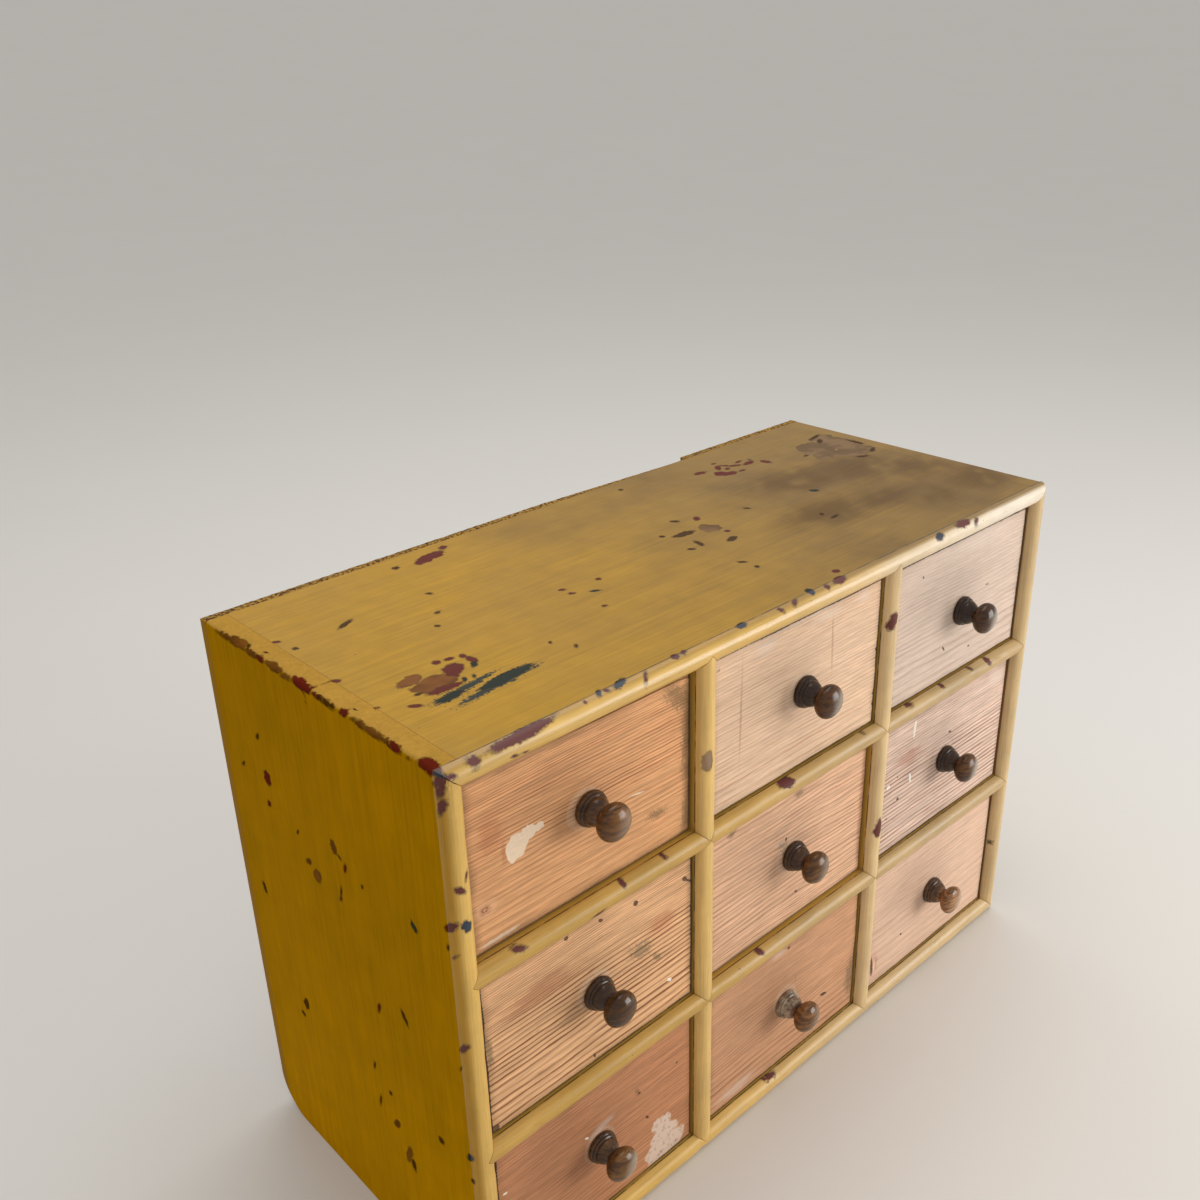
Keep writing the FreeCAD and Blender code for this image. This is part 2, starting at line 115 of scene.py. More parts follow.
@dataclass(frozen=True)
class Mark:
    """One chip, stain or other mark on a face, in millimetres and degrees."""

    across: float
    up: float
    long: float
    wide: float
    turn: float
    coat: Coat
    face: Face
    level: float
    deep: float = 6.0

    @cached_property
    def outwards(self) -> Vector:
        """The direction that the mark's face looks."""
        return Vector(self.face.value)

    @cached_property
    def middle(self) -> Vector:
        """The mark's middle, in metres."""
        across, up, level = self.across * MM, self.up * MM, self.level * MM
        if self.face is Face.TOP:
            return Vector((across, up, level))
        return Vector((level, across, up) if self.face is Face.SIDE else (across, level, up))

    @cached_property
    def into(self) -> Matrix:
        """Takes a place to the mark's own space, where it is a ball of radius 1."""
        turn = math.radians(self.turn)
        long, wide, deep = self.long * MM, self.wide * MM, self.deep * MM
        if self.face is Face.TOP:
            angles, size = (0.0, 0.0, turn), (long, wide, deep)
        elif self.face is Face.SIDE:
            angles, size = (turn, 0.0, 0.0), (deep, long, wide)
        else:
            angles, size = (0.0, -turn, 0.0), (long, deep, wide)
        return Matrix.LocRotScale(self.middle, Euler(angles), Vector(size)).inverted()

    @property
    def reach(self) -> float:
        """Its larger half size, in metres."""
        return max(self.long, self.wide) * MM

    @property
    def least(self) -> float:
        """Its smaller half size, in metres."""
        return min(self.long, self.wide) * MM

    @property
    def soft(self) -> bool:
        """Whether the mark has no outline."""
        return self.coat in SOFT

    def near(self, place: Vector) -> float:
        """Gives how far a place is from the mark's ragged outline, which is below 0 inside it.

        Args:
            place: The place, in metres.

        Returns:
            The distance in mm for a crisp mark, or else as a share of the mark's size.
        """
        first = noise.noise_vector(place * (0.7 / self.least) + self.middle * 50.0)
        second = noise.noise_vector(place * (1.9 / self.least))
        third = noise.noise_vector(place * 420.0)
        moved = place + first * self.least * 0.34 + second * self.least * 0.26
        moved += third * min(self.least * 0.2, 0.6 * MM)
        return ((self.into @ moved).length - 1.0) * (self.least / MM if self.coat in CRISP else 1.0)

    def touches(self, low: Vector, high: Vector) -> bool:
        """Tells whether the mark reaches into a box, given in metres."""
        reach = self.reach * 1.3
        return all(low[i] - reach < self.middle[i] < high[i] + reach for i in range(3))


def marks_on(face: Face, level: float, rows: Rows, deep: float = 6.0) -> tuple[Mark, ...]:
    """Makes marks from rows of places on one face.

    Args:
        face: The face they are on.
        level: Where that face is on its own axis, in millimetres.
        rows: Places, half sizes and turn of the marks of each coat.
        deep: Half size of each mark through the face, in millimetres.

    Returns:
        The marks.
    """
    return tuple(Mark(*row, coat, face, level, deep) for coat, group in rows.items() for row in group)


# Marks: middle, half length and half width in mm, and turn in degrees

TOP_MARKS = {
    Coat.OXBLOOD: (
        (-150, 117, 15, 6, 15), (-130, 126, 4, 3, 35), (-310, 71, 2.5, 1.5, -40), (-321, 61, 3, 1.5, -35),
        (-311, -7, 3, 2, -60), (-312, -55, 1.5, 1, -40), (-249, -48, 8, 7, 55), (-268, -65, 12, 3.5, -5),
        (-251, -32, 2.5, 2.5, -50), (-242, -34, 3, 2, -15), (-233, -37, 2.5, 2, 80),
        (-232, -45, 5.5, 2.5, -90), (-294, -70, 4, 2, -35), (-268, -141, 24, 3.5, 3),
        (-306, -146, 4.5, 2.5, 15), (-288, -157, 2, 1.5, 35), (-326, -132, 9, 3.5, 85),
        (142, 99, 6, 3, -10), (154, 84, 7, 5.5, -40), (161, 78, 6, 4, 0), (164, 97, 5.5, 2.5, 50),
        (170, 108, 2.5, 1.5, 0), (173, 97, 4.5, 1.5, -50), (180, 90, 6, 2, -25), (194, 86, 7, 3, 10),
        (208, 76, 3, 5.5, 15), (174, 76, 3.5, 1.5, 0), (190, 95, 4, 1.5, 10), (168, 89, 3, 2, 30),
        (202, 92, 1.5, 1, 0), (55, 22, 4, 2.5, 45), (52, -15, 2, 2, 35), (-118, -5, 2.5, 1.5, -30),
        (-117, -15, 2.5, 1.5, -30), (-86, -10, 2, 2, -60), (-115, -48, 2, 1.5, -10),
        (-198, -139, 2, 1.5, -50), (-217, -140, 1, 1, 60), (-167, -142, 4, 1, 45), (-136, -138, 3, 2, 0),
        (-128, -138, 2.5, 1.5, 25), (-16, -140, 3.5, 1.5, 30), (-32, -141, 2.5, 1.5, -45),
        (37, -139, 7, 3, 5), (21, -140, 2, 2, 5), (47, -128, 3, 2.5, 25), (198, -141, 9, 3, 0),
        (214, -144, 4, 1.5, 25),
    ),
    Coat.GRIME: (
        (281, 20, 6, 2, -25), (304, 25, 6, 2, 25), (313, 52, 2, 9, 0), (298, 90, 8, 2, 15),
        (292, 79, 6, 2.5, 40), (247, 60, 2.5, 1.5, 0), (23, 6, 10, 3.5, -5), (38, 31, 3.5, 2, -45),
        (17, -16, 5.5, 2, 80), (4, -20, 3, 2, -45), (42, -29, 5.5, 3, 10), (134, -47, 2.5, 1.5, 40),
        (137, -58, 5, 1.5, 10), (-180, 119, 3, 2.5, 35), (-153, 140, 3, 2, -10), (-190, 61, 2.5, 1.5, -55),
        (-205, 30, 2.5, 1.5, 20), (-218, 12, 2, 1.5, -75), (-262, 61, 7, 2, 25), (-306, 53, 2, 1.5, -70),
        (-315, 24, 2, 1.5, -60), (-284, -59, 2.5, 1.5, 5), (102, 8, 3, 1.5, -45), (61, 120, 2, 2, -60),
        (7, 15, 2, 2, 50), (12, -66, 3.5, 1.5, -45), (13, -80, 2, 1.5, 40), (-180, -64, 1.5, 1, 55),
        (-171, -80, 2, 1, 50),
    ),
    Coat.SLATE: (
        (-321, -48, 2.5, 1.5, -65), (-235, -52, 4, 2, 55), (-252, -64, 2.5, 1.5, 60),
        (-231, -81, 21, 5, 4), (-272, -76, 10, 3.5, 5), (-245, -65, 2, 1, 60), (-325, -149, 4, 2.5, 0),
        (176, -6, 4, 2.5, -45), (-102, -24, 3.5, 1.5, -30), (-186, -138, 6, 2.5, 20),
        (-204, -138, 3, 1.5, 50), (-71, -138, 4.5, 2.5, 0), (5, -137, 4, 3, 85), (38, -153, 7, 3.5, 30),
        (163, -143, 5.5, 3, 10),
    ),
    Coat.BARE: (
        (-278, -41, 10, 5.5, 10), (-268, -54, 16, 9, -5), (47, 0, 9, 9, 35), (275, 64, 25, 23, 20),
        (298, 56, 17, 25, 0), (288, 36, 22, 13, -24), (262, 50, 13, 10, 30), (300, 84, 12, 8, 0),
    ),
    Coat.BRUSHED: (
        (-229, -82, 22, 5.5, 5), (-248, -85, 24, 3.5, 8), (-269, -75, 15, 4.5, 5), (-255, -73, 22, 3, 8),
    ),
    Coat.STAIN: (
        (143, -46, 46, 22, 4), (246, 4, 46, 30, -12), (238, -78, 30, 26, 0), (286, -30, 34, 40, 0),
        (190, 20, 50, 24, -20), (200, -60, 40, 18, 0), (300, -90, 34, 30, 0),
    ),
}
EDGE_MARKS = {
    Coat.BARE: (
        (-330, 92, 12, 6, 90), (-332, 106, 16, 4, 90), (-332, 74, 14, 4.5, 90), (-331, 42, 11, 5, 90),
        (-332, 26, 9, 4, 90), (-332, -62, 12, 4.5, 90), (-332, -82, 24, 4.5, 90),
    ),
    Coat.OXBLOOD: (
        (-330, 8, 10, 5.5, 85), (-332, -14, 8, 3.5, 90), (-331, -43, 6, 5, 85), (-330, -98, 7, 3, 90),
        (-331, 60, 6, 3.5, 90), (-328, -131, 9, 4.5, 85),
    ),
    Coat.GRIME: (
        (-331, -24, 12, 3, 90), (-332, 118, 6, 2.5, 90), (-332, -112, 5, 2.5, 90), (-326, 80, 2, 1, 60),
    ),
    Coat.SLATE: (
        (330, -118, 16, 2.5, 90), (330, -70, 9, 2, 90), (-327, -146, 3, 2.5, 10),
    ),
}
LEFT_MARKS = {
    Coat.GRIME: (
        (83, 393, 3, 1.5, -50), (114, 357, 2.5, 1, -45), (43, 332, 2, 1, -55), (-13, 340, 2, 1, 35),
        (115, 244, 4.5, 2.5, 70), (-8, 308, 3, 0.5, -75), (-39, 330, 1.5, 1, -60),
        (-9, 309, 2.5, 0.5, -75), (-135, 338, 2, 1, -70), (-140, 333, 1.5, 0.5, -40),
        (-73, 240, 5.5, 2, 60), (75, 154, 5.5, 3.5, -80), (83, 139, 2.5, 2, 20), (-22, 161, 3, 1, -70),
        (-24, 128, 4.5, 1, -75), (-40, 147, 2, 1.5, -45), (-102, 150, 3, 3, 15), (-61, 92, 5, 2.5, 90),
        (-136, 241, 1.5, 0.5, -60), (-137, 141, 2, 1.5, -50),
    ),
    Coat.OXBLOOD: (
        (78, 361, 6, 4.5, 90), (82, 337, 3, 2.5, -45), (-19, 334, 3.5, 1.5, -70), (-1, 460, 7, 2, -60),
        (-142, 459, 6, 3, -40), (-141, 452, 4.5, 2, -75), (-141, 441, 5.5, 2, -75),
        (-148, 457, 3.5, 1, -75), (-7, 302, 2, 1, -50), (-139, 355, 6, 2.5, -40),
        (-40, 227, 4.5, 1.5, -70), (-140, 260, 4.5, 2, -55),
    ),
    Coat.BARE: (
        (-7, 345, 5.5, 3.5, 90), (33, 312, 4, 2, -30), (23, 305, 6, 4, -45), (-44, 120, 5, 2.5, -50),
        (-56, 99, 9, 3, -70),
    ),
    Coat.SLATE: (
        (-98, 332, 4, 3, 55), (-136, 162, 4, 2.5, -50),
    ),
}
BEAD_MARKS = {
    Coat.OXBLOOD: (
        (-323, 382, 3.5, 2, -45), (-318, 390, 2.5, 1, 75), (-322, 460, 3, 1.5, -15),
        (-155, 323, 4.5, 2.5, -30), (-151, 315, 2.5, 1.5, -45), (-191, 314, 3, 2, -90),
        (-183, 319, 3, 1.5, -5), (-282, 313, 4.5, 1.5, -15), (-216, 304, 4, 1, 5), (104, 408, 7, 3.5, 75),
        (-19, 314, 8, 3.5, -10), (-42, 321, 4.5, 2, -10), (-58, 321, 8, 2.5, -5), (-83, 320, 6, 1.5, -10),
        (106, 211, 9, 4, 85), (-44, 166, 4.5, 2, -40), (-28, 20, 13, 4.5, -15), (142, 317, 6, 3, -25),
        (191, 316, 3.5, 2, -45), (262, 313, 4.5, 2.5, -50), (235, 315, 3, 1, -30), (-305, 462, 4, 2, -5),
        (-277, 454, 2, 1, -20), (-269, 453, 1.5, 0.5, -10),
    ),
    Coat.BARE: (
        (-336, 433, 2, 1, 90), (-110, 375, 7, 3.5, 85),
    ),
    Coat.SLATE: (
        (-321, 355, 4.5, 3, -70), (-328, 463, 3, 1.5, -35), (77, 317, 4, 1.5, -30),
    ),
    Coat.GRIME: (
        (159, 24, 9, 4, -15), (137, 24, 9, 3.5, -10), (309, 89, 6, 3.5, -35),
    ),
}
FRONT_MARKS = {
    "a1": {
        Coat.FILLER: (
            (-271.5, 382.5, 9, 10, 0), (-263, 387, 8, 5, 6), (-254.5, 387.5, 6, 3, 0),
            (-289, 321.5, 16, 1.5, 1),
            (-168.5, 371, 8, 0.6, -8),
        ),
        Coat.KNOT: (
            (-299, 348, 4.5, 3.5, -5),
        ),
        Coat.RUST: (
            (-291, 400, 9, 12, 0), (-282, 383, 2, 9, 0),
        ),
        Coat.STAIN: (
            (-128, 429, 18, 7, -45), (-120, 395, 30, 5, 88), (-150, 346, 8, 3.5, -10),
            (-120, 335, 20, 5, 80),
        ),
    },
    "b1": {
        Coat.INK: (
            (-170, 240, 11, 6, -25), (-154, 225, 5.5, 2.5, -40), (-307, 239, 13, 2.5, -85),
        ),
        Coat.WHITE: (
            (-141, 195, 2.5, 1.5, -30),
        ),
        Coat.GRIME: (
            (-174, 284, 2.5, 2, -50), (-207, 288, 2.5, 1.5, -25), (-125, 278, 2.5, 2, -25),
            (-121, 275, 4, 1, -35), (-238, 291, 2, 1.5, 10), (-217, 173, 2, 1, -75),
            (-308, 171, 4.5, 3.5, 25), (-188, 301, 58, 1, 0),
        ),
        Coat.RUST: (
            (-262, 261, 27, 8, -2), (-148, 253, 13, 10, 0),
        ),
    },
    "c1": {
        Coat.PAPER: (
            (-150.5, 55, 9.5, 8, 0), (-148.5, 43.5, 15, 9, 0), (-147.5, 30.5, 21.5, 13, 0),
        ),
        Coat.GRIME: (
            (-174, 105, 1.5, 1, 0), (-133, 107, 1, 1, 0), (-166, 74, 2.5, 1, -50),
        ),
        Coat.WHITE: (
            (-228, 100, 2, 1, -35), (-304, 107, 2, 1, 0),
        ),
        Coat.HAZE: (
            (-214, 100, 12, 3.5, 15),
        ),
        Coat.STAIN: (
            (-176, 108, 3.5, 2, -70),
        ),
    },
    "a2": {
        Coat.SCRIBE: (
            (-67, 391, 50, 1.5, 89), (37, 412, 32, 1.5, -88),
        ),
        Coat.HAZE: (
            (-40, 436, 13, 6, 0), (31, 437, 16, 3.5, 0), (73, 438, 8, 4, 0), (-3, 444, 60, 3, 0),
        ),
        Coat.GRIME: (
            (96, 384, 2, 1.5, 0), (96, 344, 2, 1.5, 0), (96, 334, 2, 1, 0),
        ),
        Coat.INK: (
            (-91, 436, 2.5, 1.5, 35),
        ),
    },
    "b2": {
        Coat.STAIN: (
            (-71, 289, 4.5, 3, 20), (-4, 238, 14, 5, -55), (8, 287, 5.5, 3, -10),
        ),
        Coat.GRIME: (
            (-6, 251, 1.5, 1.5, 0), (10, 191, 2, 1, -40),
        ),
        Coat.HAZE: (
            (-13, 250, 6, 2.5, 0),
        ),
        Coat.SCRIBE: (
            (-55, 282, 36, 0.5, -5),
        ),
        Coat.RUST: (
            (94, 235, 56, 3, 90),
        ),
    },
    "c2": {
        Coat.GRIME: (
            (53, 56, 5, 1.5, -20), (1, 139, 1.5, 1.5, 0),
        ),
        Coat.INK: (
            (91, 52, 18, 6, 90),
        ),
        Coat.SCRIBE: (
            (12, 100, 6, 1, 90),
        ),
        Coat.HAZE: (
            (-11, 139, 10, 3, -5), (-63, 28, 24, 5, 0),
        ),
    },
    "a3": {
        Coat.GRIME: (
            (155, 427, 1, 1, 0), (257, 388, 3.5, 0.5, -10), (196, 347, 3, 1, -55), (237, 335, 1.5, 1, 0),
        ),
        Coat.HAZE: (
            (231, 438, 50, 9, -3),
        ),
    },
    "b3": {
        Coat.WHITE: (
            (163, 281, 9, 1.5, 85), (162, 232, 5.5, 1.5, -80), (129, 237, 2.5, 2, 0),
        ),
        Coat.GRIME: (
            (221, 254, 2.5, 1, -20), (145, 218, 2, 1.5, -10), (130, 204, 1.5, 1, 0), (142, 242, 1, 1, 0),
            (115, 174, 2.5, 2, 0),
        ),
        Coat.RUST: (
            (158, 256, 17, 7, 0),
        ),
        Coat.HAZE: (
            (294, 282, 15, 6, 0),
        ),
    },
    "c3": {
        Coat.GRIME: (
            (171, 53, 2, 1, -40), (126, 41, 12, 1.5, -85),
        ),
        Coat.FILLER: (
            (130, 40, 9, 1, -85),
        ),
        Coat.RUST: (
            (130, 42, 13, 5, -85),
        ),
    },
}


class Recipe:
    """A material being made up, with short names for the nodes that it uses and its colour so far."""

    def __init__(self, name: str) -> None:
        """Starts an empty material.

        Args:
            name: The material's name.
        """
        self.material = bpy.data.materials.new(name)
        self.material.use_nodes = True
        self.tree = self.material.node_tree
        self.tree.nodes.clear()
        self.here: Socket = self.node("ShaderNodeTexCoord").outputs["Object"]
        self.colour: Tone = (1.0, 1.0, 1.0)    # the colour so far
        self.hollow: Number = 0.0              # where the surface is hollow so far

    def node(self, kind: str, values: Values | None = None, **settings: object) -> bpy.types.Node:
        """Adds a node.

        Args:
            kind: The node's type.
            values: Sockets to link or numbers to set, by input.
            settings: Properties of the node.

        Returns:
            The node.
        """
        made = self.tree.nodes.new(kind)
        for setting, value in settings.items():
            setattr(made, setting, value)
        for place, value in (values or {}).items():
            if isinstance(value, Socket):
                self.tree.links.new(value, made.inputs[place])
            else:
                made.inputs[place].default_value = value
        return made

    def math(self, operation: str, *values: Number, clamp: bool = False) -> Socket:
        """Joins up to three numbers by one Math node."""
        made = self.node("ShaderNodeMath", dict(enumerate(values)), operation=operation, use_clamp=clamp)
        return made.outputs[0]

    def plus(self, first: Number, second: Number) -> Socket:
        """Adds two numbers."""
        return self.math("ADD", first, second)

    def minus(self, first: Number, second: Number) -> Socket:
        """Takes the second number from the first."""
        return self.math("SUBTRACT", first, second)

    def times(self, first: Number, second: Number) -> Socket:
        """Multiplies two numbers."""
        return self.math("MULTIPLY", first, second)

    def line(self, value: Number, factor: float, more: Number) -> Socket:
        """Gives value times factor, plus more."""
        return self.math("MULTIPLY_ADD", value, factor, more)

    def size(self, value: Number) -> Socket:
        """Drops a number's sign."""
        return self.math("ABSOLUTE", value)

    def vector(self, operation: str, *values: object) -> Socket:
        """Joins vectors by one Vector Math node."""
        made = self.node("ShaderNodeVectorMath", dict(enumerate(values)), operation=operation)
        return made.outputs["Value" if operation in ("LENGTH", "DOT_PRODUCT") else "Vector"]

    def grown(self, vector: object, factor: Number) -> Socket:
        """Multiplies a vector or a colour by a number."""
        return self.node("ShaderNodeVectorMath", {0: vector, 3: factor}, operation="SCALE").outputs["Vector"]

    def part(self, at: Socket, axis: Axis) -> Socket:
        """Takes a place's number along one axis."""
        return self.node("ShaderNodeSeparateXYZ", {0: at}).outputs[axis.value]

    def moved(
        self, at: Socket, scale: Triple = (1.0, 1.0, 1.0), turn: Triple = (0.0, 0.0, 0.0),
        shift: Triple = (0.0, 0.0, 0.0),
    ) -> Socket:
        """Scales, turns and then shifts places for a pattern.

        Args:
            at: The places.
            scale: How many times larger they become along each axis.
            turn: Turns about each axis, in radians.
            shift: How far they are moved then.

        Returns:
            The new places.
        """
        values = {"Vector": at, "Scale": scale, "Rotation": turn, "Location": shift}
        return self.node("ShaderNodeMapping", values).outputs[0]

    def noise(
        self, at: Socket, scale: float, detail: float = 2.0, rough: float = 0.5, colour: bool = False
    ) -> Socket:
        """Adds noise with scale bumps in a metre, as a number or as a colour with three of them."""
        values = {"Vector": at, "Scale": scale, "Detail": detail, "Roughness": rough}
        return self.node("ShaderNodeTexNoise", values).outputs[1 if colour else 0]

    def streaks(self, at: Socket, scale: Triple, detail: float = 2.0, rough: float = 0.5) -> Socket:
        """Adds noise with its own number of bumps in a metre along each axis."""
        return self.noise(self.moved(at, scale), 1.0, detail, rough)

    def wobble(self, at: Socket, scale: float, reach: float) -> Socket:
        """Gives a random shift of up to about a third of reach, in metres, each way."""
        shift = self.vector("SUBTRACT", self.noise(at, scale, 1.0, colour=True), (0.5, 0.5, 0.5))
        return self.grown(shift, reach)

    def fade(
        self, value: Number, low: float, high: float, to_low: float = 0.0, to_high: float = 1.0
    ) -> Socket:
        """Goes smoothly from one number to another.

        Args:
            value: What it follows.
            low: The value at which it starts.
            high: The value at which it ends. It may be the smaller one.
            to_low: What it gives up to the start.
            to_high: What it gives from the end on.

        Returns:
            The number.
        """
        names = ("Value", "From Min", "From Max", "To Min", "To Max")
        values = dict(zip(names, (value, low, high, to_low, to_high)))
        return self.node("ShaderNodeMapRange", values, interpolation_type="SMOOTHSTEP").outputs[0]

    def mix(self, share: Number, low: Tone, high: Tone) -> Socket:
        """Mixes two colours."""
        values = {0: share, 6: _rgba(low), 7: _rgba(high)}
        return self.node("ShaderNodeMix", values, data_type="RGBA").outputs[2]

    def tint(self, colour: Tone, share: Number, low: float, high: float) -> Socket:
        """Makes a colour darker or lighter, from low to high as share goes from 0 to 1."""
        return self.grown(colour, self.line(share, high - low, low))

    def lay(self, share: Number, tone: Tone) -> None:
        """Covers a share of the colour so far with another one."""
        self.colour = self.mix(share, self.colour, tone)

    def shade(self, share: Number, low: float, high: float) -> None:
        """Makes the colour so far darker or lighter, from low to high as share goes from 0 to 1."""
        self.colour = self.tint(self.colour, share, low, high)

    def near(self, coat: Coat, marks: Iterable[Mark]) -> Socket | None:
        """Reads how far a place is from the nearest mark's outline, which is below 0 inside the mark.

        Args:
            coat: The coat.
            marks: Marks that this piece carries.

        Returns:
            The distance, or None where the piece has no such marks.
        """
        if not any(mark.coat is coat for mark in marks):
            return None
        return self.node("ShaderNodeAttribute", attribute_name=layer_name(coat)).outputs["Fac"]

    def curve(self, value: Socket, points: Points) -> Socket:
        """Reads a number off straight lines between points.

        Args:
            value: Where along the lines.
            points: The points, in rising order.

        Returns:
            The number.
        """
        first, last = points[0][0], points[-1][0]
        most = max(number for _, number in points)
        share = self.math("DIVIDE", self.minus(value, first), last - first, clamp=True)
        ramp = self.node("ShaderNodeValToRGB", {0: share})
        stops = ramp.color_ramp.elements
        while len(stops) < len(points):
            stops.new(0.5)
        for stop, (place, number) in zip(stops, points):
            stop.position = (place - first) / (last - first)
            grey = number / most
            stop.color = (grey, grey, grey, 1.0)
        return self.times(ramp.outputs[0], most)

    def bump(self, height: Socket, distance: float = MM) -> Socket:
        """Raises the surface by height times distance, in metres."""
        values = {"Height": height, "Distance": distance, "Strength": 1.0}
        return self.node("ShaderNodeBump", values).outputs[0]

    def surface(self, roughness: Number, normal: Socket | None = None, **plain: float) -> Material:
        """Ends the recipe with its shader.

        Args:
            roughness: Roughness.
            normal: Normal, from bump.
            plain: Numbers for other sockets, by name with _ for spaces.

        Returns:
            The material.
        """
        values: Values = {"Base Color": _rgba(self.colour), "Roughness": roughness}
        if normal is not None:
            values["Normal"] = normal
        values.update({name.replace("_", " "): number for name, number in plain.items()})
        shader = self.node("ShaderNodeBsdfPrincipled", values)
        self.node("ShaderNodeOutputMaterial", {"Surface": shader.outputs[0]})
        return self.material


def _rgba(colour: Tone) -> object:
    """Gives a written colour the four numbers that a socket holds."""
    return (*colour, 1.0) if isinstance(colour, tuple) else colour


def _linear(value: int) -> float:
    """Turns one part of a colour as it is seen, 0 to 255, into the linear one, 0 to 1."""
    share = value / 255
    return share / 12.92 if share <= 0.04045 else ((share + 0.055) / 1.055) ** 2.4


def paint(red: int, green: int, blue: int) -> Colour:
    """Turns a colour as it is seen, 0 to 255, into the linear one that a shader uses."""
    return _linear(red), _linear(green), _linear(blue)


def darker(colour: Colour, share: float = 0.86) -> Colour:
    """Gives a colour that reflects only a share of the light."""
    return colour[0] * share, colour[1] * share, colour[2] * share


# Finishes

TOP_DIRT_AND_SHADE_SPAN = (-0.22, 0.18)                 # from where to where along X the top turns olive, in metres: partly dirt, partly painted shade
KNOB_FOOT = (
    # the turning from the drawer's face to the neck: distance from the axis and from the face, in mm
    (12.7, 0.4), (13.1, 1.2), (13.2, 2.1), (13.0, 3.0), (12.5, 3.7), (11.95, 4.1), (11.85, 4.35),
    (12.05, 4.6), (12.15, 5.0), (12.0, 5.5), (11.5, 6.0), (10.9, 6.3), (10.75, 6.55), (10.8, 7.0),
    (10.6, 7.9), (10.1, 9.0), (9.35, 10.3), (8.4, 11.7), (7.4, 12.9), (6.7, 13.7), (6.35, 14.3),
    (6.3, 14.7), (6.6, 15.1),
)
FOOT_GROOVES = (4.3 * MM, 6.5 * MM)   # from the drawer's face
NECK_GROOVE = 14.6 * MM               # from the drawer's face
NECK = 6.6 * MM                       # the narrowest that the ball is where it leaves the neck
BALL_MIDDLE = 23.3 * MM               # from the drawer's face


@dataclass(frozen=True)
class Brushwork:
    """The noises that one painted piece is made of, from coarse to fine."""

    cloud: Socket
    blotch: Socket
    chips: Socket
    strokes: Socket
    threads: Socket
    fine: Socket


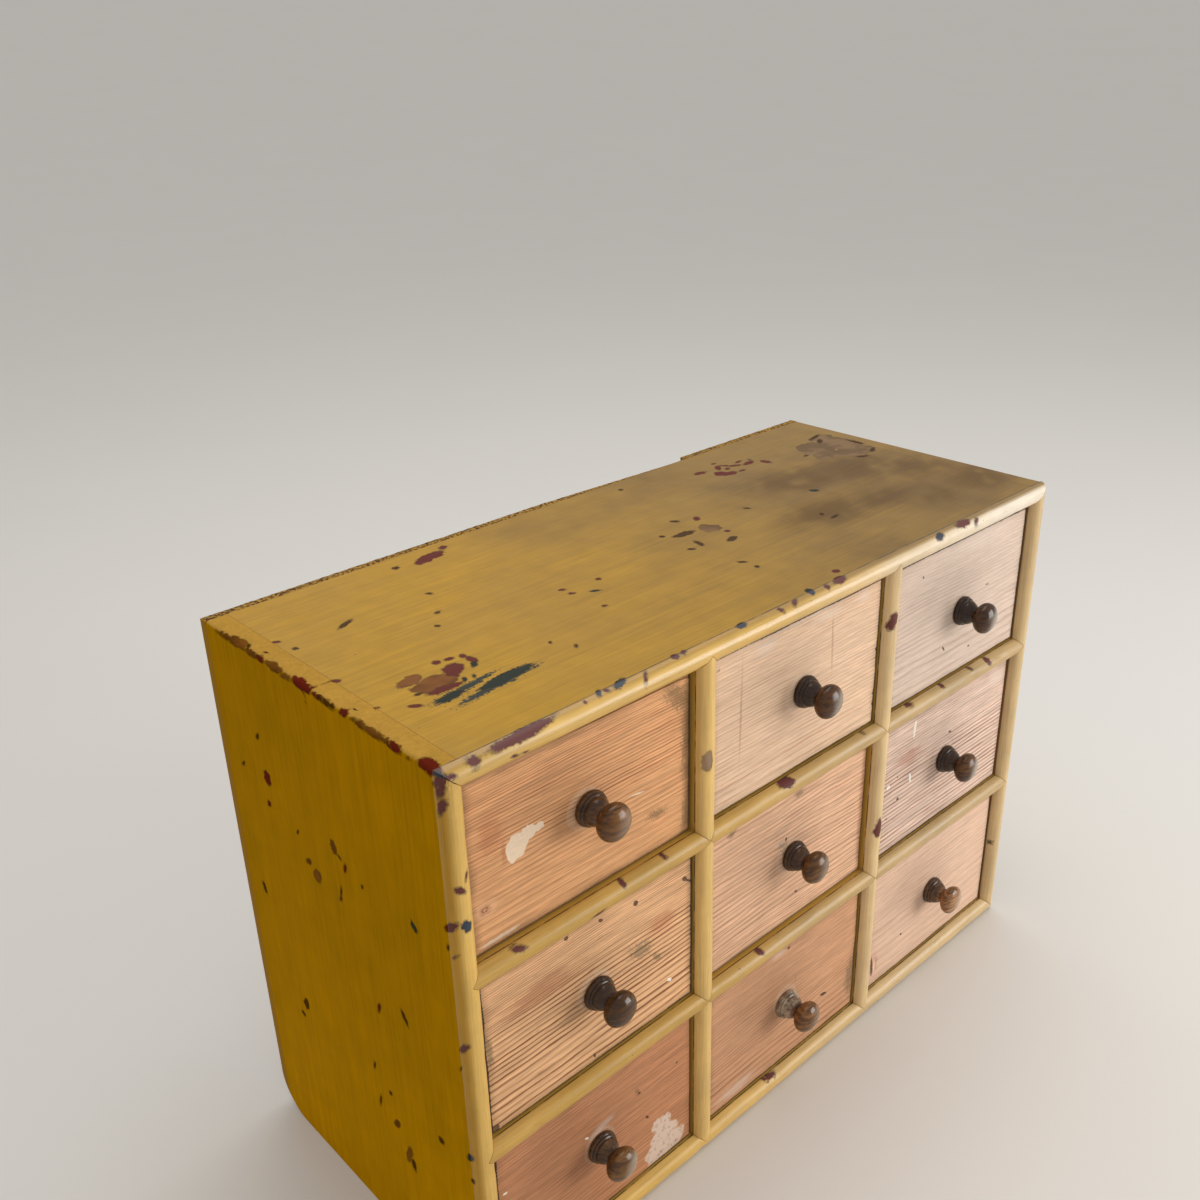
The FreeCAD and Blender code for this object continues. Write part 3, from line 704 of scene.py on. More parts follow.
@dataclass(frozen=True)
class AgedPaint:
    """Ochre paint brushed over dark red and blue-grey coats, chipped, worn and grimy."""

    grain: Axis
    ochre: Colour
    tired: Colour
    sheen: float               # how strongly it mirrors
    scatter: float             # how high the noise stands where a small chip is missing
    oxblood: Colour = paint(102, 48, 40)
    slate: Colour = paint(52, 62, 68)
    bare: Colour = paint(152, 122, 94)
    grime: Colour = paint(70, 48, 26)
    gloss: float = 0.42
    dirt_and_light_span: tuple[float, float] | None = None    # from where to where along X it turns to the olive colours, in metres: partly dirt and partly painted light
    olive: tuple[Colour, Colour] = (paint(146, 115, 60), paint(120, 93, 52))
    grey: Colour = paint(134, 107, 76)          # bare wood where the paint has turned olive
    crown: tuple[float, float, Colour, Colour] | None = None    # the end grain's: from, to, left and right
    shade_line: float | None = None                 # where along Y the bead meets the board, in metres: painted shade in a dirt colour lies just in front of it
    inside: tuple[Axis, float] | None = None    # nearer the middle than this along an axis, the wood is bare
    shaded_flank: tuple[float, float, Colour] | None = None    # its left end's painted shade: from, to along X, and the shaded colour
    floor_bounce: float = 1.0                         # how much lighter it is towards the floor: painted light of the floor's bounce
    ior: float = 1.5

    def along(self, fine: float, coarse: float) -> Triple:
        """Gives a scale that is coarse along the grain and fine across it."""
        return tuple(coarse if axis is self.grain else fine for axis in Axis)

    def material(self, name: str, marks: Iterable[Mark]) -> Material:
        """Makes the paint for one piece.

        Args:
            name: The piece's name.
            marks: The marks that it carries.

        Returns:
            The material.
        """
        pot = Recipe("paint_" + name)
        work = Brushwork(
            cloud=pot.noise(pot.here, 9.0, 3.0, 0.6),
            blotch=pot.noise(pot.here, 45.0, 2.0, 0.6),
            chips=pot.noise(pot.here, 75.0, 3.0, 0.62),
            strokes=pot.streaks(pot.here, self.along(260.0, 7.0), 3.0, 0.6),
            threads=pot.streaks(pot.here, self.along(800.0, 22.0), 3.0, 0.7),
            fine=pot.noise(pot.here, 900.0, 2.0, 0.6),
        )
        fresh, tired, wood = self.coats(pot, work)
        pot.colour = pot.mix(pot.fade(work.cloud, 0.34, 0.76), fresh, tired)
        self.brushed(pot, work)
        self.soiled(pot, work, marks)
        self.chipped(pot, work, wood)
        self.marked(pot, work, wood, marks)
        self.bordered(pot, work)
        height = pot.line(work.strokes, 0.12, pot.times(work.threads, 0.05))
        height = pot.minus(pot.line(work.fine, 0.03, height), pot.times(pot.hollow, 0.12))
        polish = pot.fade(work.strokes, 0.3, 0.7, self.gloss - 0.05, self.gloss + 0.08)
        rough = pot.plus(pot.times(pot.hollow, 0.25), polish)
        return pot.surface(rough, pot.bump(height), Specular_IOR_Level=self.sheen, IOR=self.ior)

    def coats(self, pot: Recipe, work: Brushwork) -> tuple[Tone, Tone, Tone]:
        """Gives the colours of the top coat and the wood, which change from place to place.

        Args:
            pot: What the material is made up in.
            work: The piece's noises.

        Returns:
            The top coat where it is fresh, where it is tired, and the wood.
        """
        fresh, tired, wood = self.ochre, self.tired, self.bare
        across, up = pot.part(pot.here, Axis.X), pot.part(pot.here, Axis.Z)
        # Towards the right the paint turns olive: partly dirt, and partly painted light, shade on the top and
        # highlight on the beads.
        if self.dirt_and_light_span is not None:
            share = pot.fade(pot.line(work.cloud, 0.14, pot.minus(across, 0.07)), *self.dirt_and_light_span)
            fresh, tired = pot.mix(share, fresh, self.olive[0]), pot.mix(share, tired, self.olive[1])
            wood = pot.mix(share, wood, self.grey)
        if self.crown is not None:
            low, high, left, right = self.crown
            share = pot.fade(up, low, high)
            upper = pot.mix(pot.fade(across, *TOP_DIRT_AND_SHADE_SPAN), left, right)
            fresh = pot.mix(share, fresh, upper)
            tired = pot.mix(share, tired, pot.tint(upper, 0.0, 0.92, 1.0))
        # Painted shade: the flank takes the colour of the left end's paint as it shows in shade.
        if self.shaded_flank is not None:
            beside, to, shaded_flank = self.shaded_flank
            share = pot.fade(across, beside, to)
            fresh, tired = pot.mix(share, fresh, shaded_flank), pot.mix(share, tired, shaded_flank)
        return fresh, tired, wood

    def brushed(self, pot: Recipe, work: Brushwork) -> None:
        """Shows the brush's strokes and hairs, with dirt in the deepest of them, and paints light of the
        floor's bounce where it is set.

        Args:
            pot: What the material is made up in.
            work: The piece's noises.
        """
        # Painted light of the floor's bounce: the paint is lighter towards the floor.
        if self.floor_bounce != 1.0:
            pot.shade(pot.fade(pot.part(pot.here, Axis.Z), 0.26, 0.02), 1.0, self.floor_bounce)
        pot.shade(pot.fade(work.strokes, 0.3, 0.7), 0.93, 1.06)
        pot.shade(pot.fade(work.blotch, 0.3, 0.7), 0.96, 1.04)
        pot.shade(pot.fade(work.threads, 0.25, 0.75), 0.9, 1.09)
        pores = pot.fade(pot.plus(work.threads, pot.times(work.strokes, 0.35)), 0.86, 0.98)
        pot.lay(pot.times(pores, 0.25), self.grime)

    def soiled(self, pot: Recipe, work: Brushwork, marks: Iterable[Mark]) -> None:
        """Lays soft stains and dark specks over the paint.

        Args:
            pot: What the material is made up in.
            work: The piece's noises.
            marks: The marks that the piece carries.
        """
        near = pot.near(Coat.STAIN, marks)
        if near is not None:
            soft = pot.line(work.cloud, 1.2, pot.line(work.strokes, 0.9, pot.minus(near, 1.05)))
            pot.lay(pot.fade(soft, 0.8, -0.75, 0.0, 0.8), paint(94, 66, 28))
        place = pot.vector("ADD", pot.here, pot.wobble(pot.here, 420.0, 3.5 * MM))
        specks = pot.node("ShaderNodeTexVoronoi", {"Vector": place, "Scale": 75.0})
        number = pot.node("ShaderNodeSeparateColor", {0: specks.outputs["Color"]}).outputs[0]
        speck = pot.times(pot.fade(specks.outputs["Distance"], 0.055, 0.03), 0.7)
        pot.lay(pot.times(speck, pot.math("GREATER_THAN", number, 0.72)), self.grime)

    def chipped(self, pot: Recipe, work: Brushwork, wood: Tone) -> None:
        """Takes small scattered chips out of the paint.

        Args:
            pot: What the material is made up in.
            work: The piece's noises.
            wood: The bare wood's colour.
        """
        missing = pot.fade(work.chips, self.scatter, self.scatter + 0.012)
        kind = pot.fade(pot.noise(pot.here, 14.0), 0.47, 0.5)
        under = pot.tint(pot.mix(kind, wood, self.oxblood), work.fine, 0.75, 1.15)
        pot.lay(pot.fade(work.chips, self.scatter - 0.03, self.scatter, 0.0, 0.35), self.grime)
        pot.lay(missing, under)
        pot.hollow = missing

    def marked(self, pot: Recipe, work: Brushwork, wood: Tone, marks: Iterable[Mark]) -> None:
        """Lays the piece's own marks over the paint, each with a dirty rim.

        Args:
            pot: What the material is made up in.
            work: The piece's noises.
            wood: The bare wood's colour.
            marks: The marks that the piece carries.
        """
        ragged = pot.minus(pot.noise(pot.here, 520.0, 2.0, 0.6), 0.5)
        ragged = pot.line(work.fine, 0.7, pot.line(ragged, 1.6, -0.35))
        dragged = pot.moved(pot.here, (18.0, 1100.0, 1100.0), (0.0, 0.0, math.radians(-9)))
        dry = pot.noise(dragged, 1.0, 2.0, 0.6)
        tones = {
            Coat.BARE: wood, Coat.OXBLOOD: self.oxblood, Coat.BRUSHED: paint(56, 60, 52),
            Coat.SLATE: self.slate, Coat.GRIME: self.grime,
        }
        for coat, tone in tones.items():
            near = pot.near(coat, marks)
            if near is None:
                continue
            if coat is Coat.BRUSHED:
                near = pot.line(dry, 2.2, pot.minus(near, 1.1))
            near = pot.plus(near, ragged)
            inside = pot.fade(near, 0.14, -0.14)
            if coat is Coat.BARE:
                grain = pot.streaks(pot.here, self.along(700.0, 40.0), 3.0, 0.65)
                tone = pot.tint(pot.tint(tone, pot.fade(work.blotch, 0.62, 0.4), 0.68, 1.0), grain, 0.75, 1.2)
            elif coat is not Coat.GRIME:
                tone = pot.tint(tone, work.fine, 0.8, 1.2)
            if coat is not Coat.BRUSHED:
                pot.lay(pot.fade(near, 1.3, 0.1, 0.0, 0.65), self.grime)
                pot.hollow = pot.math("MAXIMUM", pot.hollow, inside)
            pot.lay(pot.times(inside, 0.85) if coat is Coat.GRIME else inside, tone)

    def bordered(self, pot: Recipe, work: Brushwork) -> None:
        """Lays painted shade in a dirt colour just in front of where the bead meets the board, and leaves the
        wood bare inside the case.

        Args:
            pot: What the material is made up in.
            work: The piece's noises.
        """
        if self.shade_line is not None:
            # Painted shade where the bead meets the board, laid in a dirt colour.
            deep = pot.fade(pot.part(pot.here, Axis.Y), self.shade_line - 1.3 * MM, self.shade_line - 0.4 * MM)
            dirt = pot.times(deep, pot.fade(work.chips, 0.35, 0.55, 0.4, 0.95))
            pot.lay(dirt, paint(56, 37, 20))
        if self.inside is not None:
            axis, reach = self.inside
            inner = pot.math("LESS_THAN", pot.size(pot.part(pot.here, axis)), reach)
            pot.lay(inner, pot.tint(paint(150, 110, 70), work.threads, 0.7, 1.2))


@dataclass(frozen=True)
class Look:
    """How one coat shows on bare pine."""

    tone: Colour
    share: float    # how far it hides the wood
    outer: float    # where it starts, from the mark's outline
    inner: float    # where it is full


PINE_LOOKS = {
    Coat.HAZE: Look(paint(222, 206, 192), 0.42, 0.5, -0.7),
    Coat.STAIN: Look(paint(98, 82, 52), 0.6, 0.6, -0.6),
    Coat.RUST: Look(paint(168, 96, 62), 0.4, 0.5, -0.6),
    Coat.KNOT: Look(paint(128, 68, 44), 0.75, 0.15, -0.15),
    Coat.INK: Look(paint(96, 88, 62), 0.55, 0.35, -0.35),
    Coat.SCRIBE: Look(paint(150, 100, 76), 0.4, 0.4, -0.4),
    Coat.FILLER: Look(paint(236, 212, 184), 0.92, 0.25, -0.25),
    Coat.PAPER: Look(paint(208, 184, 166), 0.95, 0.15, -0.15),
    Coat.WHITE: Look(paint(238, 232, 220), 0.9, 0.2, -0.2),
    Coat.GRIME: Look(paint(62, 40, 28), 0.85, 0.2, -0.2),
}


@dataclass(frozen=True)
class Fibres:
    """The noises that one drawer front is made of."""

    cloud: Socket
    fibre: Socket
    speckle: Socket


@dataclass(frozen=True)
class PineFace:
    """A drawer front of worn pine, with its own run of growth rings and its own marks."""

    light: Colour
    dark: Colour
    rings: Points         # height above the lower edge in mm, and rings passed
    depth: Points         # the same heights, and how dark the rings are
    wave: float           # how far a ring strays, in mm
    dirt: float           # how dirty the rim is
    slope: float = 0.0    # fall to the right, in degrees
    fibres: float = 1.0   # how strongly the fibres show

    def material(self, name: str, low: Vector, high: Vector, marks: Iterable[Mark]) -> Material:
        """Makes the finish of one drawer front.

        Args:
            name: The piece's name.
            low: The front's lowest corner, in metres.
            high: Its highest corner, in metres.
            marks: The marks that it carries.

        Returns:
            The material.
        """
        pot = Recipe("pine_" + name)
        own = pot.moved(pot.here, shift=(-(low.x + high.x) / 2, -high.y, -low.z))
        seeded = pot.moved(pot.here, shift=(low.x * 7.3, 0.0, low.z * 3.1))
        grown = Fibres(
            cloud=pot.streaks(seeded, (14.0, 14.0, 30.0), 3.0, 0.6),
            fibre=pot.streaks(seeded, (26.0, 700.0, 820.0), 3.0, 0.65),
            speckle=pot.noise(pot.here, 600.0, 3.0, 0.7),
        )
        late = pot.times(self.late_wood(pot, own, seeded), pot.fade(grown.cloud, 0.2, 0.7, 0.45, 1.15))
        pot.colour = pot.mix(late, self.light, self.dark)
        darkest, lightest = 1.0 - 0.24 * self.fibres, 1.0 + 0.17 * self.fibres
        pot.shade(pot.fade(grown.fibre, 0.3, 0.7), darkest, lightest)
        hair = pot.streaks(seeded, (70.0, 2600.0, 3600.0), 2.0, 0.6)
        pot.shade(pot.fade(hair, 0.25, 0.75), 0.86, 1.11)
        pits = pot.fade(pot.streaks(seeded, (60.0, 900.0, 900.0), 2.0, 0.6), 0.66, 0.76)
        pot.lay(pot.times(pits, 0.45), self.dark)
        pot.lay(pot.fade(grown.cloud, 0.45, 0.75, 0.0, 0.3), pot.tint(pot.colour, 0.0, 0.84, 1.0))
        self.marked(pot, grown, marks)
        self.dirt_and_painted_light(pot, grown, own, (high - low) * 0.5)
        relief = pot.line(late, 0.05, pot.times(grown.fibre, 0.06))
        relief = pot.minus(relief, pot.times(pot.hollow, 0.25))
        rough = pot.fade(grown.fibre, 0.2, 0.8, 0.5, 0.66)
        return pot.surface(rough, pot.bump(relief), Specular_IOR_Level=0.2)

    def late_wood(self, pot: Recipe, own: Socket, seeded: Socket) -> Socket:
        """Draws the dark part of each growth ring.

        Args:
            pot: What the material is made up in.
            own: Places from the middle of the front's lower edge.
            seeded: Places for noise that differs from front to front.

        Returns:
            How dark the rings are.
        """
        sway = pot.streaks(seeded, (9.0, 9.0, 24.0))
        ripple = pot.streaks(seeded, (45.0, 45.0, 90.0))
        sway = pot.line(sway, self.wave * 5, -self.wave * 2.5)
        height = pot.line(pot.part(own, Axis.Z), 1 / MM, sway)
        height = pot.line(ripple, 1.6, pot.minus(height, 0.8))
        height = pot.line(pot.part(own, Axis.X), math.tan(math.radians(self.slope)) / MM, height)
        height = pot.line(pot.part(own, Axis.Y), 0.25 / MM, height)
        passed = pot.curve(height, self.rings)
        share = pot.math("FRACT", passed)
        each = pot.node("ShaderNodeTexWhiteNoise", {"W": pot.math("FLOOR", passed)}, noise_dimensions="1D")
        late = pot.times(pot.fade(share, 0.45, 0.84), pot.fade(share, 1.0, 0.92))
        late = pot.times(late, pot.curve(height, self.depth))
        return pot.times(late, pot.line(each.outputs["Value"], 0.7, 0.5))

    def marked(self, pot: Recipe, grown: Fibres, marks: Iterable[Mark]) -> None:
        """Lays the front's own marks over the wood.

        Args:
            pot: What the material is made up in.
            grown: The front's noises.
            marks: The marks that it carries.
        """
        ragged = pot.line(grown.speckle, 0.6, -0.3)
        for coat, look in PINE_LOOKS.items():
            near = pot.near(coat, marks)
            if near is None:
                continue
            tone: Tone = look.tone
            if coat is Coat.SCRIBE:
                near = pot.line(grown.cloud, 0.6, near)
            near = pot.plus(near, ragged)
            if coat in (Coat.STAIN, Coat.INK):
                near = pot.line(grown.speckle, 2.4, pot.minus(near, 1.2))
            if coat in (Coat.HAZE, Coat.RUST):
                near = pot.line(grown.fibre, 2.2, pot.minus(near, 1.1))
            if coat is Coat.PAPER:
                torn = pot.fade(pot.noise(pot.here, 220.0, 4.0, 0.75), 0.52, 0.68)
                tone = pot.mix(torn, tone, paint(150, 118, 98))
                pot.lay(pot.fade(near, 1.4, 0.1, 0.0, 0.45), paint(228, 206, 180))
            if coat is Coat.FILLER:
                tone = pot.tint(tone, grown.speckle, 0.82, 1.15)
            share = pot.times(pot.fade(near, look.outer, look.inner), look.share)
            if coat is Coat.KNOT:
                rings = pot.math("SINE", pot.times(near, 9.0))
                share = pot.times(share, pot.fade(rings, -0.6, 0.8, 0.35, 1.0))
                pot.lay(pot.fade(near, 1.6, 0.2, 0.0, 0.35), paint(222, 176, 140))
            if coat is Coat.GRIME:
                pot.hollow = pot.fade(near, look.outer, look.inner)
            pot.lay(share, tone)

    def dirt_and_painted_light(self, pot: Recipe, grown: Fibres, own: Socket, half: Vector) -> None:
        """Lays dirt near the front's edges and a pale ring round its knob, and paints light and shade: the
        knob's shadow up and to its left, more light towards the right, and a thin dark shade of the gaps
        along the rim.

        Args:
            pot: What the material is made up in.
            grown: The front's noises.
            own: Places from the middle of the front's lower edge.
            half: Half the front's size, in metres.
        """
        across, up = pot.part(own, Axis.X), pot.part(own, Axis.Z)
        side = pot.minus(half.x, pot.size(across))
        end = pot.minus(half.z, pot.size(pot.minus(up, half.z)))
        inwards = pot.math("MINIMUM", side, end)
        ragged = pot.line(grown.cloud, -12 * MM, pot.line(grown.speckle, -5 * MM, 8.5 * MM))
        ragged = pot.plus(inwards, ragged)
        pot.lay(pot.fade(ragged, 9 * MM, 0.0, 0.0, 0.7 * self.dirt), paint(104, 78, 50))

        # Painted shadow of the knob, up and to its left.
        beside = pot.moved(own, (16.0, 0.0, 24.0), shift=(0.5, 0.0, -24.0 * half.z - 0.5))
        pot.shade(pot.fade(pot.vector("LENGTH", beside), 1.1, 0.2), 1.0, 0.85)
        millimetres = (1 / MM, 0.0, 1 / MM)
        ring = pot.vector("LENGTH", pot.moved(own, millimetres, shift=(1.5, 0.0, -half.z / MM - 1.5)))
        pale = pot.times(pot.fade(ring, 17.0, 14.0), pot.fade(grown.speckle, 0.3, 0.6, 0.05, 0.28))
        pot.lay(pale, paint(228, 204, 180))
        # Painted light: the front is lighter towards its right.
        pot.shade(pot.fade(across, 0.0, 70 * MM), 1.0, 1.07)

        # Painted shade of the gaps round the front: a thin dark line along its rim, strongest on the face.
        rim = pot.line(grown.speckle, -2 * MM, pot.line(grown.cloud, -3 * MM, inwards))
        depth = pot.plus(pot.part(own, Axis.Y), 2 * half.y)
        share = pot.times(pot.fade(rim, -0.3 * MM, -1.1 * MM), pot.fade(depth, 4 * MM, 1.5 * MM, 0.35, 0.92))
        pot.lay(share, paint(42, 27, 18))


@dataclass(frozen=True)
class BarePine:
    """Unfinished pine inside the case and in the drawers."""

    grain: Axis
    age: float = 1.0            # how light it still is
    lip: float | None = None    # paint runs in from the front edge to here, in metres, and painted shade lies further in
    light: Colour = paint(196, 158, 112)
    dark: Colour = paint(158, 110, 68)

    def material(self, name: str) -> Material:
        """Makes the bare wood of one kind of piece.

        Args:
            name: What the pieces are.

        Returns:
            The material.
        """
        pot = Recipe("bare_" + name)
        scales = {Axis.X: (3.0, 60.0, 150.0), Axis.Y: (150.0, 3.0, 60.0), Axis.Z: (60.0, 150.0, 3.0)}
        scale = scales[self.grain]
        rings = pot.streaks(pot.here, scale, 2.0, 0.45)
        lines = pot.fade(pot.math("SINE", pot.times(rings, 42.0)), -0.2, 1.0)
        fibre = pot.streaks(pot.here, tuple(9 * number for number in scale), 3.0, 0.65)
        cloud = pot.noise(pot.here, 18.0, 3.0, 0.6)
        pot.colour = pot.mix(pot.times(lines, 0.75), self.light, self.dark)
        pot.shade(pot.fade(fibre, 0.25, 0.75), 0.84, 1.1)
        pot.shade(pot.fade(cloud, 0.3, 0.7), 0.8 * self.age, 1.05 * self.age)
        if self.lip is not None:
            back = pot.part(pot.here, Axis.Y)
            ragged = pot.line(pot.noise(pot.here, 120.0, 3.0, 0.6), 4 * MM, pot.minus(back, 2 * MM))
            # Painted shade deeper in the case, behind the paint, in a dirt colour.
            dirty = pot.times(pot.fade(back, self.lip + 30 * MM, self.lip + 10 * MM), 0.8)
            pot.lay(dirty, paint(58, 40, 26))
            ochre = pot.tint(paint(196, 152, 66), cloud, 0.8, 1.1)
            pot.lay(pot.fade(ragged, self.lip, self.lip - 1 * MM), ochre)
        height = pot.line(fibre, 0.08, pot.times(lines, 0.03))
        return pot.surface(pot.fade(fibre, 0.2, 0.8, 0.6, 0.78), pot.bump(height), Specular_IOR_Level=0.2)


@dataclass(frozen=True)
class SawnBoard:
    """The back's rough boards: saw marks, dust and thin ochre at their upper ends."""

    top: float       # where the ochre starts, in metres
    outer: float     # where the case's ends are, along X
    middle: float    # of this board along X
    half: float      # half its width

    def material(self, name: str) -> Material:
        """Makes the finish of one back board.

        Args:
            name: The board's name.

        Returns:
            The material.
        """
        pot = Recipe("sawn_" + name)
        own = 60.0 * self.middle + 7.0
        rings = pot.noise(pot.moved(pot.here, (70.0, 70.0, 2.6), shift=(own, 0.0, own)), 1.0, 2.0, 0.45)
        lines = pot.fade(pot.math("SINE", pot.times(rings, 46.0)), -0.1, 1.0)
        fibre = pot.streaks(pot.here, (800.0, 800.0, 16.0), 3.0, 0.65)
        cloud = pot.noise(pot.here, 11.0, 4.0, 0.65)
        dots = pot.streaks(pot.here, (420.0, 420.0, 60.0), 3.0, 0.7)
        saw = pot.noise(pot.moved(pot.here, (6.0, 6.0, 520.0), (0.0, math.radians(4), 0.0)), 1.0, 2.0, 0.5)
        pot.colour = pot.mix(pot.times(lines, 0.6), paint(150, 118, 80), paint(112, 80, 50))
        pot.shade(pot.fade(fibre, 0.25, 0.75), 0.8, 1.12)
        pot.shade(pot.fade(cloud, 0.3, 0.7), 0.72, 1.08)
        across, up = pot.part(pot.here, Axis.X), pot.part(pot.here, Axis.Z)

        off = pot.line(dots, 1.4 * MM, pot.size(pot.minus(across, self.middle)))
        joint = pot.fade(off, self.half - 1.2 * MM, self.half - 0.1 * MM, 0.0, 0.8)
        pot.lay(joint, paint(48, 32, 20))
        pot.shade(0.5 + 0.5 * math.sin(31.0 * self.middle), 0.86, 1.08)

        ragged = pot.line(pot.noise(pot.here, 90.0, 3.0, 0.7), 6 * MM, up)
        end = pot.fade(ragged, self.top - 0.5 * MM, self.top + 1.5 * MM)
        ochre = pot.tint(paint(170, 132, 62), cloud, 0.85, 1.1)
        ochre = pot.mix(pot.fade(dots, 0.47, 0.54), ochre, paint(80, 50, 26))
        pot.lay(end, ochre)
        aside = pot.fade(pot.size(across), self.outer - 1.2 * MM, self.outer - 0.6 * MM)
        pot.lay(aside, pot.tint(paint(156, 112, 10), cloud, 0.9, 1.05))

        height = pot.line(dots, 0.1, pot.line(saw, 0.14, pot.times(fibre, 0.12)))
        return pot.surface(pot.fade(fibre, 0.2, 0.8, 0.66, 0.82), pot.bump(height), Specular_IOR_Level=0.1)


@dataclass(frozen=True)
class TurnedWood:
    """Dark polished hardwood of a turned knob, its grain across the turning."""

    light: Colour
    dark: Colour
    turn: float            # of the grain about the knob's axis, in degrees
    foot: float = 0.45     # how far the foot is darker
    bloom: float = 0.0     # how far the foot is rubbed pale
    tip_sheen: float = 0.15      # how strong the pale patch at the ball's front right end is: partly a rubbed end, partly a painted sheen

    def material(self, name: str, middle: Vector) -> Material:
        """Makes the finish of one knob.

        Args:
            name: The piece's name.
            middle: The knob's axis, at the face of its drawer.

        Returns:
            The material.
        """
        pot = Recipe("turned_" + name)
        own = pot.moved(pot.here, turn=(0.0, math.radians(self.turn), 0.0))
        bend = pot.vector("ADD", own, pot.wobble(own, 60.0, 6 * MM))
        bands = pot.streaks(bend, (25.0, 120.0, 420.0), 2.0, 0.55)
        pores = pot.streaks(bend, (90.0, 500.0, 2200.0), 2.0, 0.6)
        cloud = pot.noise(own, 70.0, 2.0, 0.6)
        pot.colour = pot.mix(pot.fade(bands, 0.32, 0.68, 0.1, 0.85), self.light, self.dark)
        pot.lay(pot.fade(pores, 0.54, 0.66, 0.0, 0.65), paint(34, 20, 12))
        pot.shade(pot.fade(cloud, 0.3, 0.7), 0.8, 1.15)

        reach = pot.minus(middle.y, pot.part(pot.here, Axis.Y))
        foot = pot.fade(reach, 13.5 * MM, 11 * MM)
        pot.lay(pot.times(foot, self.foot), paint(40, 23, 14))
        for place in FOOT_GROOVES:
            groove = pot.size(pot.minus(reach, place))
            pot.lay(pot.fade(groove, 0.8 * MM, 0.2 * MM, 0.0, 0.65), paint(24, 14, 10))
        groove = pot.size(pot.minus(reach, NECK_GROOVE))
        pot.lay(pot.fade(groove, 1.6 * MM, 0.2 * MM, 0.0, 0.6), paint(28, 16, 10))

        # Painted sheen: the ball's end towards the front right is laid pale where the light from the right
        # catches it, as well as rubbed.
        ball = pot.vector("SUBTRACT", pot.here, (middle.x, middle.y - BALL_MIDDLE, middle.z))
        end = pot.math("DIVIDE", pot.vector("DOT_PRODUCT", ball, (0.5, -0.8, -0.2)), 8.5 * MM)
        end = pot.line(pores, 0.5, pot.minus(end, 0.25))
        pot.lay(pot.fade(end, 0.35, 1.0, 0.0, self.tip_sheen), paint(204, 192, 172))
        if self.bloom:
            rubbed = pot.times(foot, pot.fade(pot.noise(pot.here, 160.0, 4.0, 0.7), 0.4, 0.6, 0.2, 1.0))
            pot.lay(pot.times(rubbed, self.bloom), paint(176, 158, 136))
        height = pot.line(pores, 0.05, pot.times(bands, 0.04))
        return pot.surface(pot.fade(cloud, 0.3, 0.7, 0.12, 0.22), pot.bump(height), Specular_IOR_Level=0.4)


@dataclass(frozen=True)
class Iron:
    """Dull rusty iron of the nails."""

    def material(self, name: str) -> Material:
        """Makes the iron.

        Args:
            name: What is made of it.

        Returns:
            The material.
        """
        pot = Recipe("iron_" + name)
        rust = pot.fade(pot.noise(pot.here, 700.0, 4.0, 0.7), 0.42, 0.6)
        pot.colour = pot.mix(rust, paint(74, 68, 64), paint(104, 62, 38))
        pits = pot.noise(pot.here, 2200.0, 2.0, 0.6)
        return pot.surface(pot.fade(rust, 0.0, 1.0, 0.45, 0.85), pot.bump(pits, 0.2 * MM), Metallic=0.6)


# Shapes


def layer_name(coat: Coat) -> str:
    """Gives the name of the attribute that holds how near each point is to a coat's marks."""
    return "near_" + coat.name.lower()


def clamped(share: float) -> float:
    """Keeps a share from 0 to 1."""
    return min(1.0, max(0.0, share))


def once(parts: Iterable[object]) -> list[object]:
    """Keeps each part once and in order, so that every run makes the same shape."""
    return list(dict.fromkeys(parts))


def uneven(place: Vector, scale: float, seed: float = 0.0) -> float:
    """Gives smooth noise from -1 to 1 at a place in metres, with scale bumps in a metre."""
    return noise.noise(Vector((place.x * scale + seed, place.y * scale, place.z * scale)))


def tree_of(places: list[Vector]) -> kdtree.KDTree:
    """Sorts places, so that those near a point are found quickly.

    Args:
        places: The places.

    Returns:
        The sorted tree.
    """
    tree = kdtree.KDTree(len(places))
    for index, place in enumerate(places):
        tree.insert(place, index)
    tree.balance()
    return tree


def turned(
    outline: list[Vector], middle: Vector, axis: Triple, steps: int, merge: float = 0.005 * MM
) -> Shape:
    """Turns an outline about an axis.

    Args:
        outline: Its points in order, in metres.
        middle: A point of the axis.
        axis: The axis's direction.
        steps: Faces round the turning.
        merge: Points nearer than this become one, in metres.

    Returns:
        The shape.
    """
    shape = bmesh.new()
    verts = [shape.verts.new(place) for place in outline]
    edges = [shape.edges.new(pair) for pair in zip(verts, verts[1:])]
    bmesh.ops.spin(
        shape, geom=verts + edges, cent=middle, axis=axis, dvec=(0.0, 0.0, 0.0), angle=2 * math.pi,
        steps=steps, use_merge=True, use_normal_flip=False, use_duplicate=False,
    )
    bmesh.ops.remove_doubles(shape, verts=shape.verts[:], dist=merge)
    bmesh.ops.recalc_face_normals(shape, faces=shape.faces[:])
    return shape


